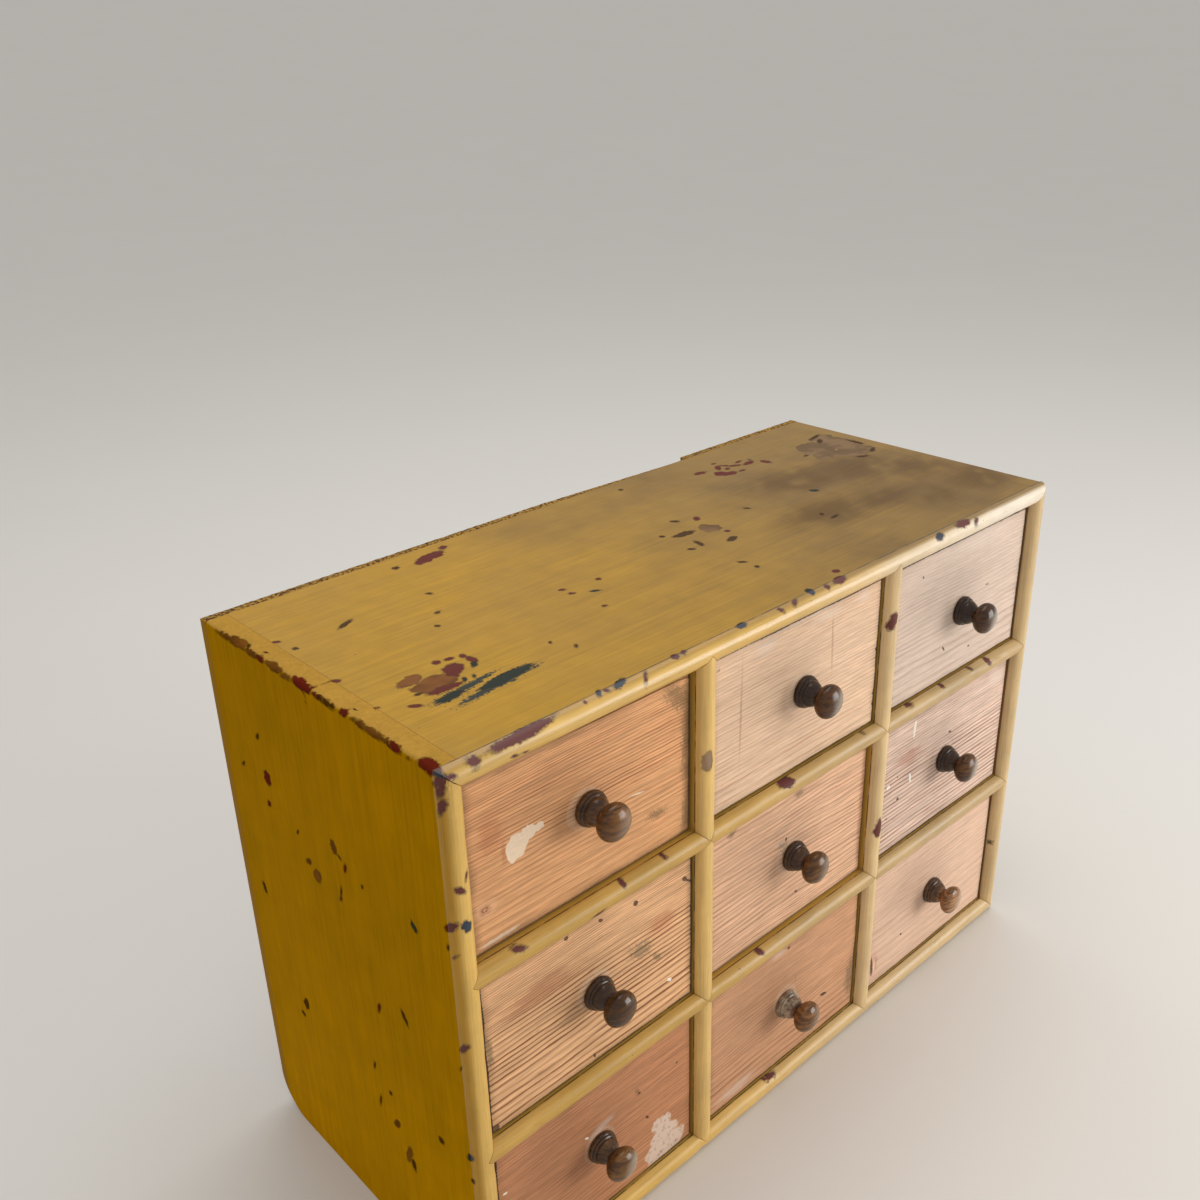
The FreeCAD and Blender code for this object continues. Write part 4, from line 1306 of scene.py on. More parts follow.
class Board:
    """A softened copy of a CAD part: merged, its edges eased, divided into cells and worn."""

    finest = 0.8 * MM    # the size of the smallest faces along a mark's outline
    widest = 9 * MM      # how far a large face's middle may be from an outline that crosses it

    def __init__(self, node: str) -> None:
        """Copies the part's mesh and merges its loose triangles.

        Args:
            node: The CAD node.
        """
        self.node = node
        self.low, self.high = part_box(node)
        self.shape = bmesh.new()
        self.shape.from_mesh(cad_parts[node].data)
        bmesh.ops.remove_doubles(self.shape, verts=self.shape.verts[:], dist=0.01 * MM)
        bmesh.ops.dissolve_limit(
            self.shape, angle_limit=math.radians(1), use_dissolve_boundaries=False,
            verts=self.shape.verts[:], edges=self.shape.edges[:], delimit=set(),
        )

    def ease(self, width: float, keep: Callable[[bmesh.types.BMEdge], bool] | None = None) -> None:
        """Softens the outer arrises.

        Args:
            width: How wide the softening is, in metres.
            keep: Tells which edges stay sharp.
        """
        chosen = [
            edge for edge in self.shape.edges
            if len(edge.link_faces) == 2 and edge.calc_face_angle_signed(0.0) > math.radians(40)
            and not (keep and keep(edge))
        ]
        bmesh.ops.bevel(
            self.shape, geom=chosen, offset=width, offset_type="OFFSET", segments=2, profile=0.5,
            affect="EDGES", clamp_overlap=True, material=-1,
        )

    def divide(self, axis: Axis, places: Iterable[float], only: Where | None = None) -> None:
        """Cuts the faces along planes, so that the surface can be worn.

        Args:
            axis: The axis that the planes stand across.
            places: Where the planes are, in metres.
            only: Tells by its middle whether a face is cut.
        """
        across = Vector([float(axis is other) for other in Axis])
        faces = [face for face in self.shape.faces if only is None or only(face.calc_center_median())]
        kept = once(part for face in faces for part in (face, *face.edges, *face.verts))
        for place in places:
            kept = bmesh.ops.bisect_plane(
                self.shape, geom=kept, dist=0.02 * MM, plane_co=across * place, plane_no=across,
                clear_inner=False, clear_outer=False,
            )["geom"]

    def cells(self, axis: Axis, step: float, close: tuple[float, ...] = ()) -> list[float]:
        """Gives places for cuts at even steps, with more of them close to both ends.

        Args:
            axis: The axis that they are along.
            step: The distance between them, in metres.
            close: Distances from each end of further cuts, in metres.

        Returns:
            The places.
        """
        low, high = self.low[axis.value], self.high[axis.value]
        count = max(1, round((high - low) / step))
        even = [low + (high - low) * i / count for i in range(1, count)]
        inner = max(close, default=0.0)
        even = [place for place in even if low + inner < place < high - inner]
        return sorted(even + [low + gap for gap in close] + [high - gap for gap in close])

    def mark(self, marks: Iterable[Mark]) -> None:
        """Cuts faces finely along the marks' outlines, sinks the chips and keeps each point's distances.

        Args:
            marks: The marks on this piece.
        """
        self.shape.normal_update()
        outlined = [mark for mark in marks if not mark.soft]
        for _ in range(5):
            crossed = self.crossed(outlined)
            if not crossed:
                break
            edges = once(edge for face in crossed for edge in face.edges)
            bmesh.ops.subdivide_edges(self.shape, edges=edges, cuts=1, use_grid_fill=True)
            self.shape.normal_update()
        layers = {}
        for coat in once(mark.coat for mark in marks):
            layers[coat] = self.shape.verts.layers.float.new(layer_name(coat))
        verts = self.shape.verts[:]
        for vert in verts:
            for layer in layers.values():
                vert[layer] = AWAY
        tree = tree_of([vert.co for vert in verts])
        sunk: dict[int, float] = {}
        for mark in marks:
            layer, chip = layers[mark.coat], SUNK.get(mark.coat, 0.0) * MM
            reach = mark.reach * (2.2 if mark.soft else 1.5) + 4 * MM
            for place, index, _ in tree.find_range(mark.middle, reach):
                vert = verts[index]
                if vert.normal.dot(mark.outwards) > TURNED_AWAY:
                    near = mark.near(place)
                    vert[layer] = min(vert[layer], near)
                    sunk[index] = max(sunk.get(index, 0.0), clamped(0.5 - near / 0.6) * chip)
        for index, deep in sunk.items():
            verts[index].co -= verts[index].normal * deep

    def crossed(self, marks: Iterable[Mark]) -> list[bmesh.types.BMFace]:
        """Finds the faces that a mark's outline crosses and that are too large to show it well.

        Args:
            marks: Marks with an outline.

        Returns:
            The faces.
        """
        faces = [face for face in self.shape.faces if face.calc_area() > (1.3 * self.finest) ** 2]
        tree = tree_of([face.calc_center_median() for face in faces])
        crossed = []
        for mark in marks:
            for place, index, _ in tree.find_range(mark.middle, mark.reach * 1.4 + self.widest):
                face = faces[index]
                away = abs((mark.into @ place).length - 1.0) * mark.least
                near = away < 1.1 * math.sqrt(face.calc_area()) + 0.3 * mark.least
                if near and face.normal.dot(mark.outwards) > TURNED_AWAY:
                    crossed.append(face)
        return once(crossed)

    def move(self, rule: Callable[[Vert], Vector]) -> None:
        """Moves every point to where a rule puts it."""
        self.shape.normal_update()
        moved = [(vert, rule(vert)) for vert in self.shape.verts]
        for vert, place in moved:
            vert.co = place

    def inset(self, place: Vector, axes: tuple[Axis, Axis]) -> float:
        """Gives 0 at the board's own rim along two axes and 1 further in, so that neighbours still meet."""
        gaps = [abs(place[axis.value] - end[axis.value]) for axis in axes for end in (self.low, self.high)]
        return clamped(min(gaps) / (8 * MM))

    def piece(self, body: str, slot: str, finish: Material, sharp: float = 28.0) -> bpy.types.Object:
        """Ends the shape as a piece that stands for its CAD node.

        Args:
            body: The body that it rides on.
            slot: Not used.
            finish: Its material.
            sharp: Edges with a larger angle stay sharp, in degrees.

        Returns:
            The piece.
        """
        wide = [face for face in self.shape.faces if len(face.verts) > 4]
        bmesh.ops.triangulate(self.shape, faces=wide, quad_method="BEAUTY", ngon_method="BEAUTY")
        return placed(self.shape, self.node + "_worn", body, finish, self.node, sharp)


def placed(
    shape: Shape, name: str, body: str, finish: Material, node: str, sharp: float
) -> bpy.types.Object:
    """Makes a piece of a shape and puts it on its body.

    Args:
        shape: The shape, which is freed.
        name: The piece's name.
        body: The body that it rides on.
        finish: Its material.
        node: The CAD node that it stands for.
        sharp: Edges with a larger angle stay sharp, in degrees.

    Returns:
        The piece.
    """
    mesh = bpy.data.meshes.new(name)
    shape.to_mesh(mesh)
    shape.free()
    mesh.shade_smooth()
    mesh.set_sharp_from_angle(angle=math.radians(sharp))
    mesh.materials.append(finish)
    piece = bpy.data.objects.new(name, mesh)
    bpy.context.scene.collection.objects.link(piece)
    even = piece.modifiers.new("even_shading", "WEIGHTED_NORMAL")
    even.keep_sharp = True
    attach(piece, body)
    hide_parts(node)
    log.info("%s: %d faces", name, len(mesh.polygons))
    return piece


def dressed(node: str, finish: Material) -> None:
    """Gives a CAD node that keeps its own mesh its finish and softened edges.

    Args:
        node: The CAD node.
        finish: Its material.
    """
    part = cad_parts[node]
    part.data.materials.clear()
    part.data.materials.append(finish)
    part.modifiers.new("merged", "WELD").merge_threshold = 0.01 * MM
    flat = part.modifiers.new("flat_faces", "DECIMATE")
    flat.decimate_type = "DISSOLVE"
    flat.angle_limit = math.radians(1)
    eased = part.modifiers.new("eased", "BEVEL")
    eased.width = 0.4 * MM
    eased.segments = 2
    eased.limit_method = "ANGLE"
    eased.angle_limit = math.radians(40)
    log.info("%s keeps its shape", node)


@dataclass
class Case:
    """The painted case: two sides, top, beads, and the bare boards inside and behind."""

    marks: tuple[Mark, ...]
    arris: float = 0.25 * MM    # softened edges of the painted boards
    cell: float = 12 * MM       # between the cuts through a board's faces
    swell: float = 0.12 * MM    # unevenness of the painted faces
    body: str = "case"
    wear: tuple[Triple, ...] = (
        # along the left end's upper edge: place, half length and depth in mm
        (92, 11, 1.7), (74, 8, 0.9), (42, 9, 1.2), (30, 5, 0.7), (8, 8, 1.1), (-18, 9, 0.5),
        (-43, 6, 1.0), (-62, 9, 1.1), (-78, 8, 0.9), (-94, 9, 1.0), (-130, 7, 1.1),
    )

    def build(self) -> None:
        """Makes every piece of the case."""
        self.side("left_side")
        self.side("right_side")
        self.top()
        for level in ("top", "bottom", "lower_shelf", "upper_shelf"):
            self.bead("bead_" + level, Axis.X)
        for upright in ("left", "right", "left_divider", "right_divider"):
            self.bead("bead_" + upright, Axis.Z)
        self.inside()
        self.back()
        self.nails()

    @cached_property
    def front(self) -> float:
        """Where the boards' front edges are along Y, in metres."""
        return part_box("top_board")[0].y

    def at_front(self, edge: bmesh.types.BMEdge) -> bool:
        """Tells whether an edge is where a board meets its bead, which paint has filled."""
        return all(abs(vert.co.y - self.front) < 0.1 * MM for vert in edge.verts)

    def own(self, board: Board) -> list[Mark]:
        """Gives the marks that reach a board."""
        return [mark for mark in self.marks if mark.touches(board.low, board.high)]

    def painted(self, board: Board, slot: str, finish: AgedPaint, sharp: float = 28.0) -> None:
        """Marks a shaped board and paints it.

        Args:
            board: The board.
            slot: Not used.
            finish: Its paint.
            sharp: Edges with a larger angle stay sharp, in degrees.
        """
        marks = self.own(board)
        board.mark(marks)
        board.piece(self.body, slot, finish.material(board.node, marks), sharp)

    def worn(self, place: Vector) -> float:
        """Gives how deep the left end's upper edge is worn at a place, in metres."""
        depth = 0.25 + 0.35 * abs(uneven(place, 120.0, 5.0))
        for middle, half, deep in self.wear:
            depth += deep * math.exp(-(((place.y / MM - middle) / half) ** 2))
        return depth * (0.8 + 0.5 * uneven(place, 400.0)) * MM

    def side(self, node: str) -> None:
        """Makes one end of the case.

        Args:
            node: Its CAD node.
        """
        board = Board(node)
        left = node == "left_side"
        outer = board.low.x if left else board.high.x
        top = board.high.z
        board.ease(self.arris, self.at_front)
        board.divide(Axis.Z, board.cells(Axis.Z, self.cell, (1 * MM, 2.5 * MM, 4 * MM)))
        board.divide(Axis.Y, board.cells(Axis.Y, self.cell, (2 * MM,)))
        reach = 7 * MM
        if left:
            step = 1.5 * MM
            fine = [board.low.y + step * i for i in range(1, int((board.high.y - board.low.y) / step))]
            rows = [outer + gap * MM for gap in (1, 2.2, 3.6, 5.2, 7.5)]
            board.divide(Axis.X, rows, lambda middle: middle.z > top - reach)
            board.divide(Axis.Y, fine, lambda middle: middle.z > top - reach and middle.x < outer + 8 * MM)

        def rule(vert: Vert) -> Vector:
            """Wears the outer face and, on the left, its upper edge.

            Args:
                vert: A point of the board.

            Returns:
                Where it comes to be.
            """
            place = vert.co.copy()
            if left:
                away = math.hypot(place.x - outer, top - place.z)
                share = max(0.0, 1.0 - away / reach) ** 1.6
                if share:
                    place += Vector((1.0, 0.0, -1.0)).normalized() * self.worn(place) * share
            if abs(place.x - outer) < 0.05 * MM:
                sunk = self.swell * (1 + uneven(place, 14.0, 3.0)) * board.inset(place, (Axis.Y, Axis.Z))
                place.x += sunk if left else -sunk
            return place

        board.move(rule)
        self.painted(board, "case_paint", self.end_paint(board, left))

    def end_paint(self, board: Board, left: bool) -> AgedPaint:
        """Gives the paint of one end of the case.

        Args:
            board: The end.
            left: Whether it is the left one.

        Returns:
            Its paint.
        """
        inside = (Axis.X, min(abs(board.low.x), abs(board.high.x)) + 0.3 * MM)
        end_grain = paint(184, 141, 62) if left else paint(146, 115, 60)
        crown = (board.high.z - 1.6 * MM, board.high.z - 0.8 * MM, end_grain, end_grain)
        # The left end's palette, with no blue, is its paint as it shows in shade, and its crown is the same
        # paint lit from above: painted shade.
        if left:
            return AgedPaint(
                Axis.Z, ochre=paint(174, 124, 0), tired=paint(164, 118, 0), oxblood=paint(100, 34, 20),
                slate=paint(48, 56, 40), bare=paint(122, 76, 26), grime=paint(66, 42, 10), sheen=0.02,
                ior=1.1, scatter=0.80, inside=inside, floor_bounce=1.16, crown=crown,
            )
        return AgedPaint(
            Axis.Z, ochre=paint(162, 124, 50), tired=paint(146, 114, 54), sheen=0.15, scatter=0.745,
            inside=inside, crown=crown,
        )

    def top(self) -> None:
        """Makes the top board."""
        board = Board("top_board")
        board.ease(self.arris, self.at_front)
        board.divide(Axis.X, board.cells(Axis.X, self.cell, (1 * MM,)))
        board.divide(Axis.Y, board.cells(Axis.Y, self.cell, (2 * MM,)))

        def rule(vert: Vert) -> Vector:
            """Leaves the upper face a little uneven."""
            place = vert.co.copy()
            if abs(place.z - board.high.z) < 0.05 * MM:
                place.z -= self.swell * (1 + uneven(place, 13.0)) * board.inset(place, (Axis.X, Axis.Y))
            return place

        board.move(rule)
        finish = AgedPaint(
            Axis.X, ochre=paint(182, 139, 46), tired=paint(177, 136, 54), bare=paint(132, 84, 42),
            slate=paint(48, 54, 46), scatter=0.83, sheen=0.14, dirt_and_light_span=TOP_DIRT_AND_SHADE_SPAN,
            inside=(Axis.Z, board.low.z + 0.3 * MM),
        )
        self.painted(board, "case_paint", finish)

    def bead(self, node: str, along: Axis) -> None:
        """Makes one line of half-round bead.

        Args:
            node: Its CAD node.
            along: The axis that it runs along.
        """
        board = Board(node)
        board.ease(0.3 * MM, lambda edge: all(vert.co.y > self.front - 0.15 * MM for vert in edge.verts))
        board.divide(along, board.cells(along, 5 * MM))
        seed = sum(map(ord, node)) % 17

        def rule(vert: Vert) -> Vector:
            """Dents the round a little and leaves it slightly wavy."""
            free = clamped((self.front - vert.co.y) / (3 * MM))
            dent = max(0.0, uneven(vert.co, 60.0, seed) - 0.32) * 1.6
            sag = 0.12 * (1 + uneven(vert.co, 16.0, seed))
            return vert.co - vert.normal * free * (dent + sag) * MM

        board.move(rule)
        self.painted(board, "bead_paint", self.bead_paint(board, along), sharp=40.0)

    def bead_paint(self, board: Board, along: Axis) -> AgedPaint:
        """Gives the paint of one bead.

        Args:
            board: The bead.
            along: The axis that it runs along.

        Returns:
            Its paint.
        """
        node, low, high = board.node, board.low, board.high
        dirt_and_light_span, sheen = (-0.2, 0.2), 0.35
        crown = shaded_flank = None
        # Each bead turns pale towards the right: partly dirt, partly painted highlight.
        fresh, pale = paint(214, 173, 90), paint(212, 182, 132)
        if "shelf" in node:
            fresh, pale = paint(194, 153, 74), paint(190, 160, 110)
        elif "divider" in node:
            fresh, pale = paint(224, 184, 106), paint(224, 194, 146)
        elif node == "bead_top":
            # bead_top's pale right part is mostly a painted highlight.
            fresh, pale = paint(212, 171, 88), paint(236, 222, 200)
            dirt_and_light_span, sheen = (-0.05, 0.3), 0.6
            crown = (high.z - 3 * MM, high.z - 0.6 * MM, paint(182, 139, 56), paint(146, 115, 60))
        elif node == "bead_left":
            # bead_left's outer flank takes the left end's ochre as it shows in shade: painted shade.
            shaded_flank = (low.x + 6 * MM, low.x + 1 * MM, paint(178, 130, 18))
        return AgedPaint(
            along, ochre=fresh, tired=darker(fresh), oxblood=paint(96, 42, 36), slate=paint(46, 54, 68),
            gloss=0.3, sheen=sheen, scatter=0.79, dirt_and_light_span=dirt_and_light_span, olive=(pale, darker(pale)), crown=crown,
            shaded_flank=shaded_flank, shade_line=None if node in ("bead_left", "bead_right") else self.front,
        )

    def inside(self) -> None:
        """Dresses the bare boards between the drawers."""
        lip = self.front + 6 * MM
        level = BarePine(Axis.X, age=0.82, lip=lip).material("shelves")
        upright = BarePine(Axis.Z, age=0.82, lip=lip).material("dividers")
        for node in ("bottom_board", "lower_shelf", "upper_shelf"):
            dressed(node, level)
        for node in ("left_divider", "right_divider"):
            dressed(node, upright)

    def back(self) -> None:
        """Makes the three rough boards of the back."""
        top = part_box("top_board")[1].z
        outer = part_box("right_side")[1].x
        for seed, place in enumerate(("left", "middle", "right")):
            board = Board("back_board_" + place)
            board.ease(0.5 * MM)
            board.divide(Axis.X, board.cells(Axis.X, 2.5 * MM), lambda middle: middle.z > top - 14 * MM)
            board.divide(Axis.Y, board.cells(Axis.Y, 1.6 * MM), lambda middle: middle.z > top - 6 * MM)
            board.divide(Axis.Z, board.cells(Axis.Z, self.cell, (1.5 * MM,)))
            board.divide(Axis.X, board.cells(Axis.X, self.cell))

            def rule(vert: Vert) -> Vector:
                """Tears the sawn upper end and leaves the back face wavy.

                Args:
                    vert: A point of the board.

                Returns:
                    Where it comes to be.
                """
                place = vert.co.copy()
                end = max(0.0, 1.0 - (board.high.z - place.z) / (5 * MM)) if vert.normal.z > -0.5 else 0.0
                torn = 1 + uneven(place, 330.0, seed) + max(0.0, uneven(place, 110.0, seed + 4.0))
                place.z -= end * 0.35 * torn * MM
                if place.y > board.high.y - 0.1 * MM:
                    place.y -= 0.15 * (1 + uneven(place, 18.0, seed)) * MM
                return place

            board.move(rule)
            middle, half = (board.low.x + board.high.x) / 2, (board.high.x - board.low.x) / 2
            finish = SawnBoard(top - 2 * MM, outer, middle, half).material(board.node)
            board.piece(self.body, "back_wood", finish)

    def nails(self) -> None:
        """Makes the nails, whose hammered heads are a little domed."""
        board = Board("back_nails")
        end = board.high.y - 0.1 * MM
        heads = [
            face for face in board.shape.faces if face.normal.y > 0.9 and face.calc_center_median().y > end
        ]
        bmesh.ops.inset_individual(board.shape, faces=heads, thickness=0.9 * MM, depth=0.0)
        inner = {vert for face in heads for vert in face.verts}
        for vert in board.shape.verts:
            if vert.co.y > end and vert not in inner:
                vert.co.y -= 0.28 * MM
        board.piece(self.body, "iron", Iron().material("nails"), sharp=35.0)


@dataclass(frozen=True)
class Fit:
    """How one drawer front was planed to its opening and has worn since, in millimetres."""

    rounds: tuple[float, float, float, float]    # of the corners: top left and right, low left and right
    left: float = 0.0
    right: float = 0.0
    low_left: float = 0.0
    low_right: float = 0.0
    top_left: float = 0.0
    top_right: float = 0.0
    nicks: tuple[Triple, ...] = ()    # on the right edge: height, depth and half width
    back: float = 0.0                 # how far the face stands behind the others
    cup: float = 0.25                 # how far the face is hollow


@dataclass(frozen=True)
class Drawer:
    """One drawer: its fitted front, its bare box and its knob."""

    place: str             # its row's letter and its column's number
    seed: float            # where its own unevenness is taken from
    fit: Fit
    pine: PineFace
    knob: TurnedWood
    reach: float = 31.5    # of the knob in front of the drawer's face, in mm
    blunt: float = 0.92    # how round the knob's end is: a smaller number is flatter
    cell: float = 3.2 * MM

    @property
    def name(self) -> str:
        """The drawer's body."""
        return "drawer_" + self.place

    def build(self, box_pine: Material, floor_pine: Material) -> None:
        """Makes the drawer's pieces.

        Args:
            box_pine: Finish of its sides and rear.
            floor_pine: Finish of its floor.
        """
        self.front()
        dressed(self.name + "_box", box_pine)
        dressed(self.name + "_floor", floor_pine)
        self.turned_knob()

    def front(self) -> None:
        """Makes the front."""
        board = Board(self.name + "_front")
        low, high = board.low, board.high
        close = (0.7 * MM, 1.5 * MM, 2.4 * MM, 4.0 * MM)
        board.divide(Axis.X, board.cells(Axis.X, self.cell, close))
        board.divide(Axis.Z, board.cells(Axis.Z, self.cell, close))
        board.move(lambda vert: self.shaped(vert.co.copy(), low, high))
        level = round(low.y / MM, 2) + self.fit.back
        marks = marks_on(Face.FRONT, level, FRONT_MARKS[self.place], 8.0)
        board.mark(marks)
        finish = self.pine.material(self.name, low, high, marks)
        board.piece(self.name, "front_pine", finish, sharp=34.0)

    def shaped(self, place: Vector, low: Vector, high: Vector) -> Vector:
        """Rounds the front's corners, planes its edges back and cups its face.

        Args:
            place: A point of the board.
            low: The board's lowest corner.
            high: Its highest corner.

        Returns:
            Where the point comes to be.
        """
        fit = self.fit
        shown = clamped((low.y + 6 * MM - place.y) / (5 * MM))
        across, up = (place.x - low.x) / (high.x - low.x), (place.z - low.z) / (high.z - low.z)
        place = self.rounded(place, low, high)
        right, left = max(0.0, 2 * across - 1) ** 6, max(0.0, 1 - 2 * across) ** 6
        upper, lower = max(0.0, 2 * up - 1) ** 6, max(0.0, 1 - 2 * up) ** 6
        top = fit.top_left + (fit.top_right - fit.top_left) * across + 0.25 * uneven(place, 70.0, self.seed)
        base = fit.low_left + (fit.low_right - fit.low_left) * across
        place.x += (fit.left * left - fit.right * right) * shown * MM
        place.z += (base * lower - max(0.0, top) * upper) * shown * MM
        for height, deep, half in fit.nicks:
            along = math.exp(-(((place.z - low.z) / MM - height) / half) ** 2)
            near = max(0.0, 1.0 - (high.x - place.x) / (3.2 * deep * MM))
            place.x -= deep * along * near * shown * MM
        if place.y < low.y + 2 * MM:
            place.y += fit.cup * (2 * up - 1) ** 2 * MM
            place.y += 0.06 * (1 + uneven(place, 30.0, self.seed)) * MM
        place.y += fit.back * clamped((low.y + 12 * MM - place.y) / (10 * MM)) * MM
        return place

    def rounded(self, place: Vector, low: Vector, high: Vector) -> Vector:
        """Brings a place near a corner of the front in to that corner's round.

        Args:
            place: The place.
            low: The board's lowest corner.
            high: Its highest corner.

        Returns:
            The place, brought in.
        """
        corners = ((-1, 1), (1, 1), (-1, -1), (1, -1))
        for (side, end), radius in zip(corners, self.fit.rounds):
            reach = radius * MM
            across = side * place.x - (side * (high.x if side > 0 else low.x) - reach)
            up = end * place.z - (end * (high.z if end > 0 else low.z) - reach)
            away = math.hypot(across, up)
            if across > 0 and up > 0 and away > reach:
                place.x -= side * across * (1 - reach / away)
                place.z -= end * up * (1 - reach / away)
        return place

    def turned_knob(self) -> None:
        """Turns the knob about its own axis."""
        node = self.name + "_knob"
        low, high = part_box(node)
        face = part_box(self.name + "_front")[0].y + self.fit.back * MM
        axis = Vector(((low.x + high.x) / 2, face, (low.z + high.z) / 2))
        tenon = 4.75 * MM
        outline = [(0.0, face - high.y), (tenon, face - high.y), (tenon, 0.0), (12.0 * MM, 0.0)]
        outline += [(out * MM, along * MM) for out, along in KNOB_FOOT]
        outline += self.ball((high.x - low.x) / 2)
        places = [axis + Vector((out, -along, 0.0)) for out, along in outline]
        shape = turned(places, axis, (0.0, 1.0, 0.0), 56)
        for vert in shape.verts:
            if face - vert.co.y > 0.2 * MM:
                worn = 0.012 * (1 + uneven(vert.co, 60.0, self.seed))
                vert.co.x -= (vert.co.x - axis.x) * worn
                vert.co.z -= (vert.co.z - axis.z) * worn
        placed(shape, node + "_turned", self.name, self.knob.material(node, axis), node, 50.0)

    def ball(self, radius: float) -> list[tuple[float, float]]:
        """Draws half the outline of the knob's flattened ball, from the neck to its end.

        Args:
            radius: The ball's radius, in metres.

        Returns:
            Points, each as its distance from the knob's axis and from the drawer's face.
        """
        reach = self.reach * MM
        middle = min(BALL_MIDDLE, reach - 5.5 * MM)
        points = []
        for step in range(1, 25):
            turn = math.pi * (1 - step / 24)
            behind = turn > math.pi / 2
            width = radius * math.sin(turn) ** (0.86 if behind else self.blunt)
            depth = middle - 14.9 * MM if behind else reach - middle
            if not behind or width >= NECK:
                points.append((width, middle + depth * math.cos(turn)))
        return points


@dataclass(frozen=True)
class Studio:
    """Floor, light and camera."""

    place: Triple = (-0.64829, -0.63521, 0.83624)    # of the camera
    turn: Triple = (65.156, 1.5892, -42.7469)        # of the camera, in degrees
    lens: float = 36.873
    ambient: float = 0.6
    daylight: Colour = (1.0, 0.985, 0.965)
    target: Triple = (0.0, 0.0, 0.25)                # what the lamps face

    def build(self) -> None:
        """Makes the floor, the lights and the camera."""
        self.floor()
        self.light("key", (1.5, -1.95, 0.62), 1.2, 31.0)
        self.light("over", (0.4, 0.3, 2.4), 1.8, 20.0)
        self.world()
        self.camera()
        bpy.context.scene.view_settings.view_transform = "Standard"

    def floor(self) -> None:
        """Lays the pale floor, which rises far away so that no horizon shows."""
        profile = [(0.0, 0.0), (4.0, 0.0)] + [(4.0 + i, 1.6 * (i / 10) ** 2) for i in range(1, 12)]
        outline = [Vector((away, 0.0, up)) for away, up in profile]
        shape = turned(outline, Vector(), (0.0, 0.0, 1.0), 64, 0.1 * MM)
        mesh = bpy.data.meshes.new("floor")
        shape.to_mesh(mesh)
        shape.free()
        mesh.shade_smooth()
        pot = Recipe("floor_pale")
        pot.colour = pot.tint(paint(224, 221, 216), pot.noise(pot.here, 3.0), 0.985, 1.015)
        mesh.materials.append(pot.surface(0.75))
        floor = bpy.data.objects.new("floor", mesh)
        bpy.context.scene.collection.objects.link(floor)

    def light(self, name: str, place: Triple, size: float, power: float) -> None:
        """Hangs one soft square lamp that faces the middle of the case.

        Args:
            name: The lamp's name.
            place: Where it hangs.
            size: The length of its sides, in metres.
            power: Its power, in watts.
        """
        lamp = bpy.data.lights.new(name, "AREA")
        lamp.shape = "SQUARE"
        lamp.size = size
        lamp.energy = power
        lamp.color = self.daylight
        hung = bpy.data.objects.new(name, lamp)
        hung.location = place
        hung.rotation_euler = (Vector(self.target) - Vector(place)).to_track_quat("-Z", "Y").to_euler()
        bpy.context.scene.collection.objects.link(hung)

    def world(self) -> None:
        """Lights everything evenly."""
        world = bpy.data.worlds.new("studio")
        world.use_nodes = True
        tree = world.node_tree
        tree.nodes.clear()
        sky = tree.nodes.new("ShaderNodeBackground")
        sky.inputs["Color"].default_value = (*self.daylight, 1.0)
        sky.inputs["Strength"].default_value = self.ambient
        end = tree.nodes.new("ShaderNodeOutputWorld")
        tree.links.new(sky.outputs[0], end.inputs[0])
        bpy.context.scene.world = world

    def camera(self) -> None:
        """Sets the camera where the photograph was taken."""
        lens = bpy.data.cameras.new("camera")
        lens.sensor_fit = "HORIZONTAL"
        lens.sensor_width = 36.0
        lens.lens = self.lens
        lens.clip_start = 0.02
        lens.clip_end = 100.0
        camera = bpy.data.objects.new("camera", lens)
        camera.location = self.place
        camera.rotation_euler = [math.radians(angle) for angle in self.turn]
        bpy.context.scene.collection.objects.link(camera)
        bpy.context.scene.camera = camera


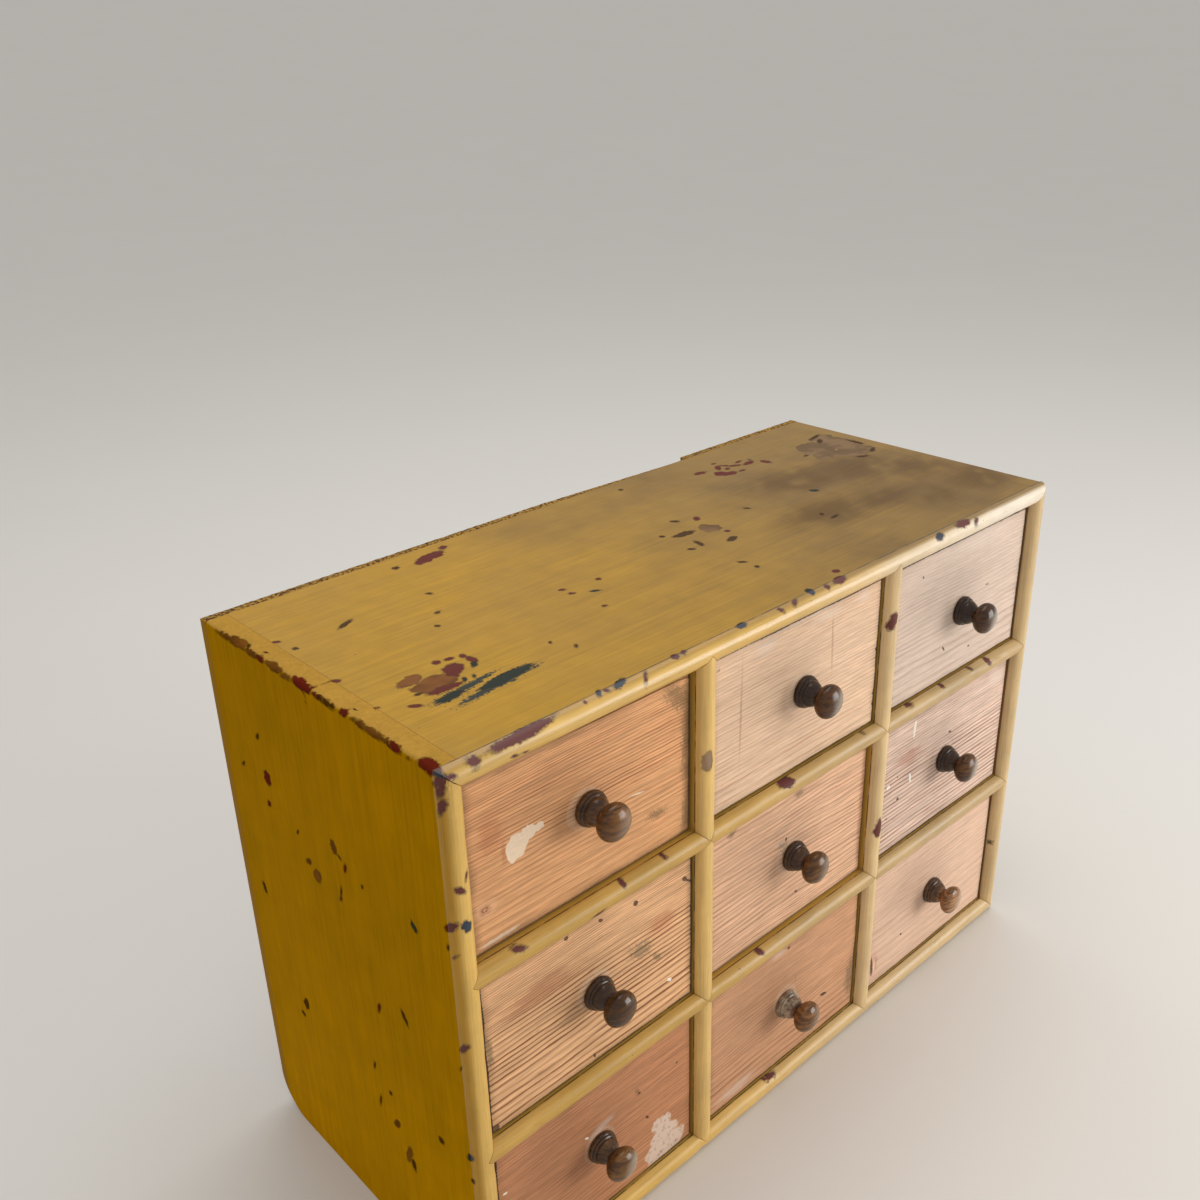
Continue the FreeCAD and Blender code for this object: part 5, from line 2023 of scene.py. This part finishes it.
def drawers() -> list[Drawer]:
    """Describes the nine drawers: their fit, wood and knob."""
    return [
        Drawer(
            place="a1", seed=1.0,
            fit=Fit(top_left=2.0, top_right=4.6, rounds=(1.2, 6.5, 0.8, 6.0), back=2.5),
            pine=PineFace(
                light=paint(218, 163, 114), dark=paint(162, 92, 54), wave=1.2, dirt=0.8,
                rings=((0, 0), (20, 3), (60, 13), (72, 17), (106, 30), (130, 43)),
                depth=((0, 0.2), (22, 0.35), (58, 0.45), (70, 0.9), (106, 0.95), (116, 0.5), (130, 0.4)),
            ),
            knob=TurnedWood(light=paint(126, 82, 36), dark=paint(60, 35, 15), turn=4),
        ),
        Drawer(
            place="a2", seed=2.0,
            fit=Fit(
                left=0.6, low_left=1.2, low_right=0.6, top_left=0.8, rounds=(0.6, 1.0, 2.5, 0.8),
                nicks=((75, 2.0, 1.6), (28, 1.6, 1.4), (22, 1.4, 1.0)),
            ),
            pine=PineFace(
                light=paint(226, 193, 162), dark=paint(196, 144, 112), wave=1.0, dirt=0.35, fibres=0.7,
                rings=((0, 0), (18, 3), (55, 13), (130, 40)), depth=((0, 0.6), (60, 0.55), (130, 0.45)),
            ),
            knob=TurnedWood(light=paint(90, 55, 22), dark=paint(44, 25, 11), turn=-8, foot=0.7, tip_sheen=0.4),
        ),
        Drawer(
            place="a3", seed=3.0,
            fit=Fit(low_right=0.8, low_left=0.4, rounds=(0.8, 4.5, 2.5, 3.5), nicks=((60, 1.4, 2.2),)),
            pine=PineFace(
                light=paint(214, 192, 175), dark=paint(172, 140, 120), wave=1.6, dirt=0.3, fibres=0.5,
                rings=((0, 0), (40, 5), (80, 14), (130, 30)), depth=((0, 0.45), (130, 0.3)),
            ),
            knob=TurnedWood(light=paint(82, 51, 26), dark=paint(41, 25, 13), turn=10, foot=0.75, tip_sheen=0.5),
        ),
        Drawer(
            place="b1", seed=4.0,
            fit=Fit(top_left=1.0, top_right=3.0, low_left=0.8, rounds=(0.8, 1.0, 3.5, 1.0)),
            pine=PineFace(
                light=paint(227, 178, 132), dark=paint(126, 74, 38), wave=1.6, slope=-0.6, dirt=0.6,
                rings=((0, 0), (42, 7), (85, 17), (130, 40)),
                depth=((0, 1), (45, 1), (85, 0.9), (95, 0.65), (130, 0.7)),
            ),
            knob=TurnedWood(light=paint(88, 56, 22), dark=paint(46, 27, 11), turn=-3, foot=0.35, tip_sheen=0.0),
        ),
        Drawer(
            place="b2", seed=5.0,
            fit=Fit(right=0.3, rounds=(0.8, 0.8, 0.8, 1.5), back=2.5),
            pine=PineFace(
                light=paint(224, 181, 147), dark=paint(158, 98, 66), wave=2.6, slope=1.0, dirt=0.4,
                rings=((0, 0), (14, 6), (40, 11), (110, 28), (130, 32)),
                depth=((0, 0.8), (20, 0.5), (60, 0.65), (130, 0.6)),
            ),
            knob=TurnedWood(light=paint(118, 78, 36), dark=paint(58, 34, 15), turn=15, foot=0.6, tip_sheen=0.2),
        ),
        Drawer(
            place="b3", seed=6.0,
            fit=Fit(right=1.6, top_left=0.5, rounds=(0.8, 1.0, 3.0, 4.5)),
            pine=PineFace(
                light=paint(222, 194, 175), dark=paint(134, 80, 56), wave=1.0, dirt=0.45,
                rings=((0, 0), (75, 17.5), (110, 29), (130, 37)),
                depth=((0, 0.85), (75, 0.85), (105, 0.5), (130, 0.35)),
            ),
            knob=TurnedWood(light=paint(102, 65, 28), dark=paint(43, 25, 12), turn=-12, foot=0.75, tip_sheen=0.55),
        ),
        Drawer(
            place="c1", seed=7.0,
            fit=Fit(right=1.6, rounds=(0.8, 0.8, 1.0, 1.0)),
            pine=PineFace(
                light=paint(186, 130, 92), dark=paint(138, 84, 56), wave=2.2, dirt=0.35,
                rings=((0, 0), (40, 10), (130, 44)), depth=((0, 0.35), (130, 0.4)),
            ),
            knob=TurnedWood(light=paint(130, 90, 44), dark=paint(66, 40, 18), turn=6, foot=0.5, tip_sheen=0.35),
        ),
        Drawer(
            place="c2", seed=8.0,
            fit=Fit(right=0.4, rounds=(0.8, 0.8, 1.0, 1.5)),
            pine=PineFace(
                light=paint(202, 153, 116), dark=paint(138, 84, 54), wave=2.6, dirt=0.4, fibres=0.8,
                rings=((0, 0), (40, 6), (80, 17), (130, 36)),
                depth=((0, 0.6), (45, 0.55), (60, 0.35), (130, 0.35)),
            ),
            knob=TurnedWood(light=paint(152, 104, 58), dark=paint(80, 50, 24), turn=-5, bloom=0.9),
        ),
        Drawer(
            place="c3", seed=9.0, reach=28.6, blunt=0.6,
            fit=Fit(right=0.3, rounds=(0.8, 1.0, 1.2, 1.0)),
            pine=PineFace(
                light=paint(222, 187, 161), dark=paint(190, 146, 120), wave=3.0, dirt=0.3, fibres=0.6,
                rings=((0, 0), (60, 7), (130, 22)), depth=((0, 0.35), (130, 0.3)),
            ),
            knob=TurnedWood(light=paint(176, 126, 80), dark=paint(86, 56, 34), turn=3, foot=0.7, tip_sheen=0.5),
        ),
    ]


def main() -> None:
    """Builds the studio, the case and the nine drawers."""
    logging.basicConfig(level=logging.INFO, format="%(relativeCreated)6d %(message)s")
    noise.seed_set(1)    # without it the marks' ragged outlines follow the clock
    Studio().build()
    marks = (
        marks_on(Face.TOP, 464.6, TOP_MARKS) + marks_on(Face.TOP, 464.6, EDGE_MARKS, 5.0)
        + marks_on(Face.SIDE, -329.5, LEFT_MARKS) + marks_on(Face.FRONT, -143.5, BEAD_MARKS, 9.0)
    )
    Case(marks).build()
    sides = BarePine(Axis.Y).material("drawer_boxes")
    floors = BarePine(Axis.X, age=0.94).material("drawer_floors")
    for drawer in drawers():
        drawer.build(sides, floors)


if __name__ == "__main__":
    main()
